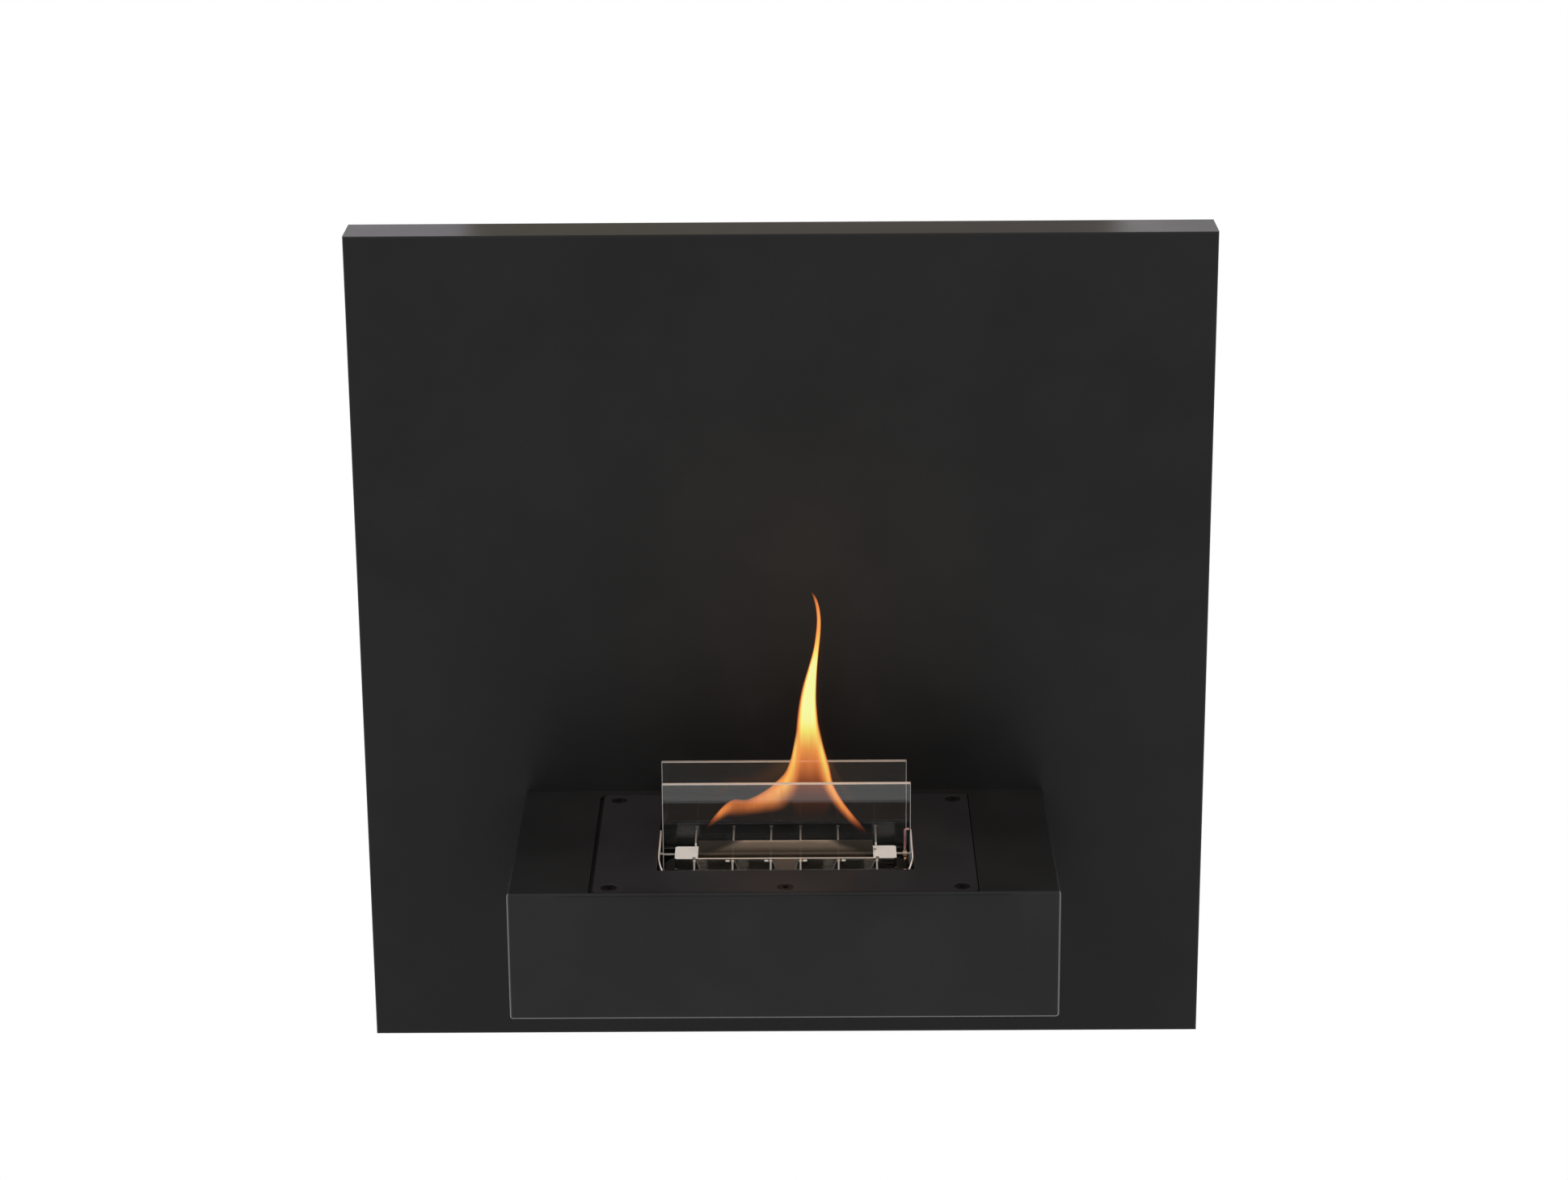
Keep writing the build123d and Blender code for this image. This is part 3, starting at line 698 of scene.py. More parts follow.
@dataclass(frozen=True)
class DrawnWire(Finish):
    """Bright drawn wire or spring strip, a little dulled."""

    colour: Colour = (0.72, 0.70, 0.67)
    dull: Colour = (0.34, 0.29, 0.25)
    dulled: float = 0.35
    metal: float = 1.0
    roughness: float = 0.20
    # The pale colour of a painted highlight low on the wire, the height below which it lies, and its fade
    # in millimetres.
    rubbed_and_highlight: Colour = (0.92, 0.90, 0.87)
    highlight_below: float | None = None
    highlight_fade: float = 0.5
    line: float = 0.18
    line_depth: float = 0.008
    dull_patch: float = 7.0

    def paint(self, book: ShaderBook) -> None:
        """Fine drawing lines and duller patches, with a pale painted highlight below a height if one is
        given.
        """
        lines = book.noise(self.line, detail=2.0)
        patch = book.noise(self.dull_patch, detail=2.0)
        tone = book.blend(patch.ramp(0.46, 0.66) * self.dulled, self.colour, self.dull)
        # A pale painted highlight below the given height, where the wire bends down.
        if self.highlight_below is not None:
            fade = mm(self.highlight_fade)
            share = book.axis("Z").ramp(self.highlight_below + fade, self.highlight_below - fade)
            tone = book.blend(share, tone, self.rubbed_and_highlight)
        rough = self.roughness + patch.ramp(0.4, 0.7) * 0.12 + (lines - 0.5) * 0.08
        book.cover({
            "Base Color": tone, "Metallic": self.metal, "Roughness": rough,
            "Normal": book.bump(lines, self.line_depth, 0.3)})


@dataclass(frozen=True)
class HeatTintedWire(Finish):
    """Stainless wire that the flame has tinted from straw through rose to blue."""

    low_z: float = 0.0
    high_z: float = 1.0
    metal: float = 0.5
    roughness: float = 0.28
    line: float = 0.2
    line_depth: float = 0.01
    wander: float = 3.0
    tints: Stops = (
        (0.0, (0.46, 0.34, 0.25)), (0.3, (0.40, 0.17, 0.16)), (0.62, (0.36, 0.135, 0.17)),
        (0.85, (0.31, 0.14, 0.20)), (1.0, (0.46, 0.27, 0.23)))

    def paint(self, book: ShaderBook) -> None:
        """Temper colours up the wire, broken up by a fine noise."""
        height = book.axis("Z").ramp(self.low_z, self.high_z)
        share = (height + (book.noise(self.wander) - 0.5) * 0.35).ramp(0.0, 1.0)
        lines = book.noise(self.line, detail=2.0)
        book.cover({
            "Base Color": book.tint(share, self.tints), "Metallic": self.metal,
            "Roughness": self.roughness + (lines - 0.5) * 0.15,
            "Normal": book.bump(lines, self.line_depth, 0.4)})


@dataclass(frozen=True)
class CopperBead(Finish):
    """A bright brazed bead of copper colour."""

    colour: Colour = (0.78, 0.36, 0.19)
    bright: Colour = (0.93, 0.70, 0.50)
    roughness: float = 0.16
    ripple: float = 0.9
    ripple_depth: float = 0.06

    def paint(self, book: ShaderBook) -> None:
        """Molten-looking ripples with paler patches."""
        ripple = book.noise(self.ripple, detail=2.0)
        tone = book.blend(ripple.ramp(0.45, 0.7), self.colour, self.bright)
        book.cover({
            "Base Color": tone, "Metallic": 1.0, "Roughness": self.roughness + ripple * 0.16,
            "Normal": book.bump(ripple, self.ripple_depth, 0.5)})


@dataclass(frozen=True)
class ZincPlate(Finish):
    """Bright zinc plate on steel, with its faint crystal patches."""

    colour: Colour = (0.52, 0.53, 0.55)
    cool: Colour = (0.40, 0.42, 0.46)
    roughness: float = 0.34
    crystal: float = 7.0
    line: float = 0.35
    line_depth: float = 0.01

    def paint(self, book: ShaderBook) -> None:
        """Flat crystal cells in colour and roughness over fine rolling lines."""
        # Each cell's random colour is read as one number.
        values = {"Vector": book.place(), "Scale": 1.0 / mm(self.crystal)}
        voronoi = book.node("ShaderNodeTexVoronoi", {"feature": "F1"}, values)
        cell = voronoi.signal("Color").ramp(0.15, 0.85)
        lines = book.noise(self.line, detail=2.0, along=Along.X)
        rough = self.roughness + cell * 0.12 + (lines - 0.5) * 0.10
        book.cover({
            "Base Color": book.blend(cell * 0.45, self.colour, self.cool), "Metallic": 1.0,
            "Roughness": rough, "Normal": book.bump(lines, self.line_depth, 0.35)})


@dataclass(frozen=True)
class BlackOxide(Finish):
    """Black oxide on a socket screw, slightly oily."""

    colour: Colour = (0.005, 0.0048, 0.0046)
    rubbed_and_highlight: Colour = (0.03, 0.024, 0.021)
    gloss: float = 0.08
    roughness: float = 0.30
    rub: float = 2.2
    rub_depth: float = 0.03

    def paint(self, book: ShaderBook) -> None:
        """Rubbed patches where the oxide is thinner."""
        rub = book.noise(self.rub, detail=3.0)
        tone = book.blend(rub.ramp(0.55, 0.75) * 0.5, self.colour, self.rubbed_and_highlight)
        book.cover({
            "Base Color": tone, "Roughness": self.roughness + rub * 0.2, "Specular IOR Level": self.gloss,
            "Normal": book.bump(rub, self.rub_depth, 0.4)})


@dataclass(frozen=True)
class MouldedRubber(Finish):
    """Matt black moulded rubber."""

    colour: Colour = (0.018, 0.018, 0.019)
    dusty: Colour = (0.05, 0.05, 0.052)
    gloss: float = 0.3
    roughness: float = 0.72
    grain: float = 0.4
    grain_depth: float = 0.03
    bloom: float = 5.0

    def paint(self, book: ShaderBook) -> None:
        """A soft dusty bloom over a fine mould grain."""
        grain = book.noise(self.grain, detail=2.0)
        bloom = book.noise(self.bloom, detail=3.0)
        tone = book.blend(bloom.ramp(0.4, 0.8) * 0.5, self.colour, self.dusty)
        book.cover({
            "Base Color": tone, "Roughness": self.roughness + grain * 0.16,
            "Specular IOR Level": self.gloss, "Normal": book.bump(grain, self.grain_depth, 0.4)})


@dataclass(frozen=True)
class CeramicWool(Finish):
    """White ceramic fibre, matted and a little yellowed."""

    colour: Colour = (0.72, 0.69, 0.62)
    shade: Colour = (0.50, 0.45, 0.37)
    gloss: float = 0.1
    roughness: float = 0.94
    strand: float = 0.5
    strand_stretch: float = 9.0
    strand_depth: float = 0.35
    clump: float = 6.0
    clump_depth: float = 0.9

    def paint(self, book: ShaderBook) -> None:
        """Matted fibres as crossing drawn-out noise."""
        lengthwise, crosswise = (
            book.noise(self.strand, 3.0, 0.6, along, self.strand_stretch) for along in (Along.X, Along.Y))
        fibre = (lengthwise + crosswise) * 0.5
        clump = book.noise(self.clump, detail=3.0)
        tone = book.blend((fibre * 0.6 + clump * 0.4).ramp(0.36, 0.62), self.shade, self.colour)
        book.cover({
            "Base Color": tone, "Roughness": self.roughness, "Specular IOR Level": self.gloss,
            "Normal": book.bump(fibre, self.strand_depth, 0.8, book.bump(clump, self.clump_depth, 0.5))})


@dataclass(frozen=True)
class ClearGlass(Finish):
    """Clear toughened glass with the faintest smears, and a haze of heat below its top edge."""

    colour: Colour = (0.97, 0.985, 0.975)
    # The grey of the edges and the paler grey of the panes' ends: partly the grinding of the glass, partly
    # a painted highlight.
    ground_and_painted_light: Colour = (0.34, 0.35, 0.345)
    end: Colour = (0.52, 0.505, 0.49)
    edge_roughness: float = 0.55
    edge_clearness: float = 0.35
    index: float = 1.5
    low_z: float = 0.0
    high_z: float = 0.0
    clear_foot: float = 0.6
    haze: float = 0.0
    haze_depth: float = 26.0
    smear: float = 26.0
    streak: float = 1.2
    grit: float = 0.5

    def paint(self, book: ShaderBook) -> None:
        """Smooth faces with the faintest smears, and matt grey edges all round but at the foot: partly the
        grinding of the glass, partly a painted highlight that is palest on the panes' ends.
        """
        smear = book.noise(self.smear, detail=3.0, along=Along.X, stretch=2.2)
        streak = book.noise(self.streak, detail=2.0, along=Along.Z, stretch=14.0)
        rough = smear.ramp(0.58, 0.8) * streak.ramp(0.4, 0.7) * 0.05
        clear = book.principled({
            "Base Color": opaque(self.colour), "Roughness": rough, "IOR": self.index,
            "Transmission Weight": 1.0})
        grit = book.noise(self.grit, detail=2.0).ramp(0.3, 0.7)
        endways = (book.facing("X") ** 2.0).ramp(0.3, 0.6)
        tone = book.blend(grit, scaled(self.ground_and_painted_light, 0.8), self.ground_and_painted_light)
        edge = book.principled({
            "Base Color": book.blend(endways, tone, self.end), "Roughness": self.edge_roughness,
            "IOR": self.index, "Transmission Weight": self.edge_clearness})
        height = book.axis("Z")
        foot = self.low_z + mm(self.clear_foot)
        cut = (book.facing("Y") ** 2.0).ramp(0.8, 0.6) * height.ramp(foot, foot + mm(self.clear_foot))
        depth = mm(self.haze_depth)
        haze = (self.high_z - height).ramp(depth, depth * 0.5) * self.haze
        book.surface(book.mixed(cut + haze * (1.0 - cut), clear, edge))


@dataclass(frozen=True)
class FlameLight(Finish):
    """The glow of a burning alcohol flame, from deep orange to pale yellow."""

    heat_layer: str = "flame_heat"
    veil_layer: str = "flame_veil"
    streak: float = 3.0
    tints: Stops = (
        (0.0, (0.16, 0.030, 0.006)), (0.25, (0.61, 0.13, 0.032)), (0.5, (0.96, 0.29, 0.08)),
        (0.65, (1.0, 0.405, 0.09)), (0.8, (1.0, 0.69, 0.15)), (0.9, (1.0, 0.90, 0.20)),
        (1.0, (0.98, 1.0, 0.40)))

    def paint(self, book: ShaderBook) -> None:
        """Colour from the heat layer and see-through from the veil layer, with faint upward streaks."""
        heat, veil = (book.node("ShaderNodeAttribute", {"attribute_name": layer}).signal("Fac")
                      for layer in (self.heat_layer, self.veil_layer))
        streak = book.noise(self.streak, detail=2.0, along=Along.Z, stretch=12.0)
        glow = (heat + (streak - 0.5) * 0.11).ramp(0.0, 1.0)
        book.cover({
            "Base Color": opaque(BLACK), "Roughness": 1.0, "Specular IOR Level": 0.0,
            "Emission Color": book.tint(glow, self.tints), "Emission Strength": 1.0,
            "Alpha": veil * streak.ramp(0.2, 0.6, 0.86, 1.0)})


@dataclass(frozen=True)
class PureWhiteStage(Finish):
    """A pale studio floor that the camera, gloss and glass all see as pure white."""

    diffuse: Colour = (0.8, 0.8, 0.8)

    def paint(self, book: ShaderBook) -> None:
        """White light to seen rays, and a pale matt floor to the rest."""
        matt = book.node("ShaderNodeBsdfDiffuse", None, {"Color": opaque(self.diffuse)})
        white = book.node("ShaderNodeEmission", None, {"Color": opaque(WHITE), "Strength": 1.0})
        book.surface(book.mixed(book.seen(), matt, white))


@dataclass(frozen=True)
class FlagCloth(Finish):
    """The cloth of a photographer's flag, which sets how bright a reflection is from side to side."""

    steps: Stops = ((0.0, BLACK),)

    def paint(self, book: ShaderBook) -> None:
        """Fades from one step to the next, each a place along X and the tone there."""
        tone: Tone = self.steps[0][1]
        for (start, _), (end, colour) in zip(self.steps, self.steps[1:]):
            tone = book.blend(book.axis("X").ramp(mm(start), mm(end)), tone, colour)
        book.surface(book.node("ShaderNodeEmission", None, {"Color": opaque(tone), "Strength": 1.0}))


# ------------------------------------------------------------------------------ building helpers
def middle_of(name: str) -> Vector:
    """The middle of a node's box."""
    low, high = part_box(name)
    return (low + high) / 2


def slot_rim() -> Vector:
    """The middle of the burner's slot, at its rim."""
    middle = middle_of("slot_neck")
    return Vector((middle.x, middle.y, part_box("slot_neck")[1].z))


def shelf_top() -> float:
    """The height of the shelf's top."""
    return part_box("cover_plate")[1].z


def new_object(name: str, mesh: bmesh.types.BMesh, smooth: bool = True) -> bpy.types.Object:
    """Puts a mesh into the scene as an object, with its faces facing outwards.

    Args:
        name: the name of the object and its mesh.
        mesh: the bmesh, which is freed.
        smooth: whether its faces are shaded smooth.

    Returns:
        The new object.
    """
    bmesh.ops.recalc_face_normals(mesh, faces=mesh.faces)
    data = bpy.data.meshes.new(name)
    mesh.to_mesh(data)
    mesh.free()
    for polygon in data.polygons:
        polygon.use_smooth = smooth
    made = bpy.data.objects.new(name, data)
    bpy.context.scene.collection.objects.link(made)
    return made


def dress(node: bpy.types.Object, material: bpy.types.Material) -> None:
    """Gives an object one material all over.

    Args:
        node: the object.
        material: its new material.
    """
    if node.material_slots:
        for held in node.material_slots:
            held.material = material
    else:
        node.data.materials.append(material)


def hide_from(node: bpy.types.Object, *kinds: Rays) -> None:
    """Hides an object from some kinds of ray.

    Args:
        node: the object.
        kinds: the kinds of ray that it is hidden from.
    """
    for kind in kinds:
        setattr(node, kind.value, False)


def skin(mesh: bmesh.types.BMesh, rings: Sequence[Sequence[bmesh.types.BMVert]]) -> None:
    """Joins closed rings of vertices, each to the next, with faces.

    Args:
        mesh: the mesh that the vertices are in.
        rings: the rings, which have as many vertices each.
    """
    for lower, upper in zip(rings, rings[1:]):
        for step, vertex in enumerate(lower):
            following = (step + 1) % len(lower)
            mesh.faces.new((vertex, lower[following], upper[following], upper[step]))


def round_path(corners: Sequence[Vector], radius: float, steps: int = 6) -> list[Vector]:
    """Rounds the inner corners of a path with arcs.

    Args:
        corners: the path's corner points.
        radius: the radius of each arc.
        steps: how many short runs each arc has.

    Returns:
        The points of the rounded path.
    """
    points = [corners[0]]
    for before, corner, after in zip(corners, corners[1:], corners[2:]):
        inward = (before - corner).normalized()
        onward = (after - corner).normalized()
        half = inward.angle(onward) / 2
        reach = radius / math.tan(half)
        centre = corner + (inward + onward).normalized() * (radius / math.sin(half))
        start = (corner + inward * reach - centre).normalized()
        end = (corner + onward * reach - centre).normalized()
        for step in range(steps + 1):
            points.append(centre + start.slerp(end, step / steps) * radius)
    points.append(corners[-1])
    return points


def wire_into(mesh: bmesh.types.BMesh, path: Sequence[Vector], radius: float, sides: int = 12) -> None:
    """Adds a round wire along a path to a mesh.

    Args:
        mesh: the mesh that the wire is added to.
        path: the points of the wire's centre line.
        radius: the wire's radius.
        sides: how many faces it has round it.
    """
    rings: list[list[bmesh.types.BMVert]] = []
    side = Vector((1.0, 0.0, 0.0))
    for index, point in enumerate(path):
        ahead = path[min(index + 1, len(path) - 1)] - path[max(index - 1, 0)]
        up = ahead.normalized().cross(side).normalized()
        across = up.cross(ahead).normalized()
        rings.append([mesh.verts.new(point + radius * (math.cos(turn) * across + math.sin(turn) * up))
                      for turn in (math.tau * step / sides for step in range(sides))])
    skin(mesh, rings)
    mesh.faces.new(list(reversed(rings[0])))
    mesh.faces.new(rings[-1])


@dataclass
class Workshop:
    """What every sub-assembly works with: the frame's nodes and the finishes made so far."""

    nodes: Mapping[str, bpy.types.Object]
    made: dict[str, bpy.types.Material] = field(default_factory=dict)

    def material(self, finish: Finish) -> bpy.types.Material:
        """The material of a finish, made once.

        Args:
            finish: the finish.

        Returns:
            Its material.
        """
        if finish.name not in self.made:
            self.made[finish.name] = finish.material()
        return self.made[finish.name]

    def coat(self, names: Iterable[str], finish: Finish) -> None:
        """Gives nodes of the frame a finish.

        Args:
            names: the nodes' names.
            finish: their finish.
        """
        for name in names:
            dress(self.nodes[name], self.material(finish))
            LOG.info("%s: %s", name, finish.name)

    def add(self, piece: bpy.types.Object, finish: Finish, slot: Slot,
            stands_for: str | None = None) -> None:
        """Finishes a new piece and fixes it to the fireplace's body.

        Args:
            piece: the new piece, in place.
            finish: its finish.
            slot: the material slot that the finish belongs to; not used.
            stands_for: the node that it replaces, if any.
        """
        dress(piece, self.material(finish))
        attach(piece, FIXED_BODY)
        if stands_for:
            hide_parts(stands_for)
        LOG.info("%s: %s", piece.name, finish.name)


# ------------------------------------------------------------------------------ panel and shelf
@dataclass
class BackPanel:
    """The black panel, what hangs it on the wall and what stiffens it."""

    shop: Workshop

    def build(self) -> None:
        """Dresses the panel, the rail, the bumpers and the backing plate."""
        self.shop.coat(["front_panel"], PowderCoat("panel_powder_coat"))
        self.shop.coat(["wall_rail", "backing_plate"], ZincPlate("zinc_sheet"))
        self.shop.coat(["wall_bumpers"], MouldedRubber("bumper_rubber"))


@dataclass
class Shelf:
    """The shelf box with its bolts, ledge, cover plate and screws."""

    shop: Workshop

    def build(self) -> None:
        """Dresses the shelf and what is fixed to it."""
        low, high = (tuple(corner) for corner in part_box("shelf_box"))
        self.shop.coat(["shelf_box", "ledge_frame", "burner_tray"], FoldedCoat(
            "shelf_powder_coat", colour=(0.0074, 0.0074, 0.0075), dust_seed=4.8, low=low, high=high))
        self.shop.coat(["cover_plate"], PowderCoat(
            "plate_powder_coat", colour=(0.0108, 0.0106, 0.0117), grain=0.65, roughness=0.46,
            dust_seed=7.3))
        self.shop.coat(["cover_screws"], BlackOxide("screw_black_oxide"))
        self.shop.coat(["shelf_bolts", "shelf_washers", "shelf_nuts", "weld_nuts"],
                       ZincPlate("zinc_fixings"))


# ------------------------------------------------------------------------------ burner
@dataclass
class Burner:
    """The tank, its neck and bearing blocks, and the fibre that holds the fuel.

    A spot of painted shade round a hole is given by how far it lies from its block's inner end, how far
    from the block's front or rear, and its radius.
    """

    shop: Workshop
    hole_spot: tuple[float, float, float] = (2.9, 1.9, 1.5)
    rear_spot: tuple[float, float, float] = (1.2, 7.0, 1.1)
    wool_cell: float = 3.0
    wool_relief: float = 0.9
    wool_lumps: float = 90.0
    wool_seed: int = 7

    def build(self) -> None:
        """Dresses the steel and lays the fibre."""
        self.shop.coat(["fuel_tank"], BrushedSteel("tank_steel", roughness=0.34, warmth=0.7))
        # The neck's rim and the blocks' upward faces get the painted highlight.
        self.shop.coat(["slot_neck"], NeckSteel(
            "neck_steel", colour=(0.42, 0.37, 0.32), warm=(0.26, 0.18, 0.13), metal=0.965, top_highlight=0.85,
            ground_and_painted_light=(0.84, 0.82, 0.79), roughness=0.2, middle=tuple(middle_of("slot_neck"))))
        self.shop.coat(["end_block_left", "end_block_right"], BlockSteel(
            "block_steel", colour=(0.25, 0.23, 0.21), warm=(0.31, 0.28, 0.25), warmth=0.3, top_highlight=0.8,
            ground_and_painted_light=(0.81, 0.835, 0.85), roughness=0.3, shade_spots=self.shaded_hole_spots()))
        self.fibre()

    def shaded_hole_spots(self) -> Spots:
        """Finds where the blocks get painted shade round their holes.

        Returns:
            The place along X and Y, in metres, and the radius of each spot.
        """
        left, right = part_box("end_block_left"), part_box("end_block_right")
        inset, depth, radius = self.hole_spot
        rear_inset, rear_depth, rear_radius = self.rear_spot
        return ((left[1].x - mm(inset), left[0].y + mm(depth), radius),
                (right[0].x + mm(inset), right[0].y + mm(depth), radius),
                (right[0].x + mm(rear_inset), right[1].y - mm(rear_depth), rear_radius))

    def fibre(self) -> None:
        """Lays the matted fibre in the tank, as a block with a ragged surface."""
        low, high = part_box("fibre_block")
        size = high - low
        middle = middle_of("fibre_block")
        counts = [max(2, round(length / mm(self.wool_cell))) for length in size]
        mesh = self.cube_of_cells(counts)
        relief = mm(self.wool_relief)
        seed = Vector((self.wool_seed,) * 3)
        for vertex in mesh.verts:
            flat = Vector(part * length for part, length in zip(vertex.co, size))
            shift = mathnoise.noise((flat + seed) * self.wool_lumps) * relief
            if flat.z > -size.z / 2:
                flat.z *= 1.0 - (relief - shift) / size.z
            flat.x *= 1.0 - relief / size.x
            flat.y *= 1.0 - relief / size.y
            vertex.co = middle + flat
        self.shop.add(new_object("fibre_wool", mesh), CeramicWool("ceramic_wool"), Slot.FIBRE,
                      stands_for="fibre_block")

    @staticmethod
    def cube_of_cells(counts: Sequence[int]) -> bmesh.types.BMesh:
        """Makes a unit cube about the origin, with cells on its top and round its sides.

        Args:
            counts: how many cells it has along X, Y and Z.

        Returns:
            The cube.
        """
        across, deep, high = counts
        mesh = bmesh.new()
        bmesh.ops.create_grid(mesh, x_segments=across, y_segments=deep, size=0.5)
        for vertex in mesh.verts:
            vertex.co.z = 0.5
        rim = sorted((vertex for vertex in mesh.verts if vertex.is_boundary),
                     key=lambda vertex: math.atan2(vertex.co.x, vertex.co.y))
        rings = [rim]
        for level in range(1, high + 1):
            rings.append([mesh.verts.new((*vertex.co.xy, 0.5 - level / high)) for vertex in rim])
        skin(mesh, rings)
        mesh.faces.new(rings[-1])
        return mesh


@dataclass
class Snuffer:
    """The flap that puts the flame out, on its axle, with its lever."""

    shop: Workshop

    def build(self) -> None:
        """Dresses the snuffer's four pieces."""
        low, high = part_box("snuffer_flap")
        lever_low, lever_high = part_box("snuffer_lever")
        self.shop.coat(["snuffer_flap"], HeatedFlap(
            "flap_steel", free_z=high.z, hinge_z=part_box("snuffer_axle")[1].z,
            middle_x=(low.x + high.x) / 2, half_x=(high.x - low.x) / 2))
        self.shop.coat(["snuffer_axle"], DrawnWire(
            "axle_wire", colour=(0.40, 0.37, 0.34), metal=0.6, roughness=0.4))
        self.shop.coat(["snuffer_lever"], HeatTintedWire(
            "lever_wire", low_z=lever_low.z, high_z=lever_high.z))
        self.shop.coat(["lever_bead"], CopperBead("lever_bead_copper"))


@dataclass(frozen=True)
class PaneSide:
    """One side of the slot: the looks of its pane and of the wires that carry it.

    The outward way is -1 towards the viewer and 1 towards the wall.
    """

    name: str
    outward: float
    ground_and_painted_light: Colour
    index: float
    haze: float
    wire: Colour
    # Whether the side's wires get a painted highlight where they dip.
    rubbed_and_highlight: bool


@dataclass
class GlassGuard:
    """The two panes, the bent wires that carry them and the springs at their ends."""

    shop: Workshop
    # The rear side's edge grey and wire colour are darker copies of the front's: painted shade for the side
    # seen through both panes.
    sides: tuple[PaneSide, ...] = (
        PaneSide("front", -1.0, ground_and_painted_light=(0.57, 0.55, 0.53), index=1.45, haze=0.0,
                 wire=(0.432, 0.4158, 0.3996), rubbed_and_highlight=False),
        PaneSide("rear", 1.0, ground_and_painted_light=(0.33, 0.32, 0.31), index=1.3, haze=0.042,
                 wire=(0.272, 0.2618, 0.2516), rubbed_and_highlight=True))
    wire_radius: float = 0.7
    bend_radius: float = 1.5
    dip: float = 4.25
    floor_run: float = 6.4
    slope_run: float = 2.4
    rise_run: float = 6.5
    # How far up the dip the painted highlight on the wires reaches, as a share of the dip.
    highlight_share: float = 0.6
    bead_radius: float = 1.25
    bead_height: float = 0.8
    bead_ripple: float = 0.10
    ripple_lumps: float = 1800.0
    ripple_spread: float = 500.0

    def build(self) -> None:
        """Dresses the glass and springs, and bends the saddle wires."""
        for side in self.sides:
            name = f"{side.name}_glass"
            low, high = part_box(name)
            self.shop.coat([name], ClearGlass(
                f"{side.name}_clear_glass", ground_and_painted_light=side.ground_and_painted_light, index=side.index, low_z=low.z,
                high_z=high.z, haze=side.haze))
            hide_from(self.shop.nodes[name], Rays.SHADOW)
        # The springs are painted near-white and not metallic: a painted highlight on the spring steel.
        self.shop.coat(["bow_spring_left", "bow_spring_right"], DrawnWire(
            "spring_strip", colour=(0.86, 0.92, 0.96), dulled=0.0, metal=0.0, roughness=0.3))
        self.shop.coat(["wire_feet"], DrawnWire(
            "wire_feet", colour=(0.19, 0.18, 0.16), metal=0.4, roughness=0.4))
        self.shop.coat(["end_bracket_left", "end_bracket_right"], BrushedSteel(
            "bracket_steel", along=Along.Z))
        for side in self.sides:
            self.saddle_wires(side)

    def wire_places(self, node: str) -> list[float]:
        """Finds where along X the wires of a node lie.

        Args:
            node: the node that holds the wires.

        Returns:
            The X of each wire's centre line.
        """
        edges: list[float] = []
        for x in sorted(vertex.co.x for vertex in self.shop.nodes[node].data.vertices):
            if not edges or x - edges[-1] > mm(4 * self.wire_radius):
                edges.append(x)
        return [edge + mm(self.wire_radius) for edge in edges]

    def saddle_wires(self, side: PaneSide) -> None:
        """Bends one pane's wires and brazes their ends.

        Args:
            side: the side of the slot that they are on.
        """
        node = f"{side.name}_saddle_wires"
        low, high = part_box(node)
        pane_y = middle_of(f"{side.name}_glass").y
        neck_y, wall_y = (high.y, low.y) if side.outward < 0 else (low.y, high.y)
        top_z = high.z - mm(self.wire_radius)
        floor_z = top_z - mm(self.dip)
        near, slope, rise = (side.outward * mm(run) for run in (
            self.floor_run / 2, self.slope_run, self.rise_run))
        route = ((neck_y, top_z), (pane_y - near - slope, top_z), (pane_y - near, floor_z),
                 (pane_y + near, floor_z), (pane_y + near + rise, top_z), (wall_y, top_z))
        wires = bmesh.new()
        beads = bmesh.new()
        for x in self.wire_places(node):
            corners = [Vector((x, y, z)) for y, z in route]
            wire_into(wires, round_path(corners, mm(self.bend_radius)), mm(self.wire_radius))
            for end_y, inward in ((neck_y, side.outward), (wall_y, -side.outward)):
                self.braze(beads, Vector((x, end_y, top_z)), inward)
        # The rear wires get a painted highlight low in their dip, where they bend.
        finish = DrawnWire(f"{side.name}_saddle_wire", colour=side.wire, metal=0.25, roughness=0.4,
                           highlight_below=floor_z + mm(self.dip * self.highlight_share) if side.rubbed_and_highlight else None)
        self.shop.add(new_object(f"{node}_bent", wires), finish, Slot.WIRE, stands_for=node)
        self.shop.add(new_object(f"{side.name}_wire_beads", beads), DrawnWire(
            "braze_beads", colour=(0.66, 0.60, 0.52), metal=0.5, roughness=0.4), Slot.WIRE)

    def braze(self, mesh: bmesh.types.BMesh, place: Vector, inward: float) -> None:
        """Adds a small braze bead where a wire meets a wall.

        Args:
            mesh: the mesh that the bead is added to.
            place: the end of the wire's centre line.
            inward: the side of the wall that the bead is on, -1 or 1 along Y.
        """
        made = bmesh.ops.create_icosphere(mesh, subdivisions=3, radius=mm(self.bead_radius))["verts"]
        for vertex in made:
            lumps = vertex.co * self.ripple_lumps + place * self.ripple_spread
            vertex.co = vertex.co * (1.0 + self.bead_ripple * mathnoise.noise(lumps))
            vertex.co.y = max(0.0, vertex.co.y * inward) * inward * self.bead_height
            vertex.co += place


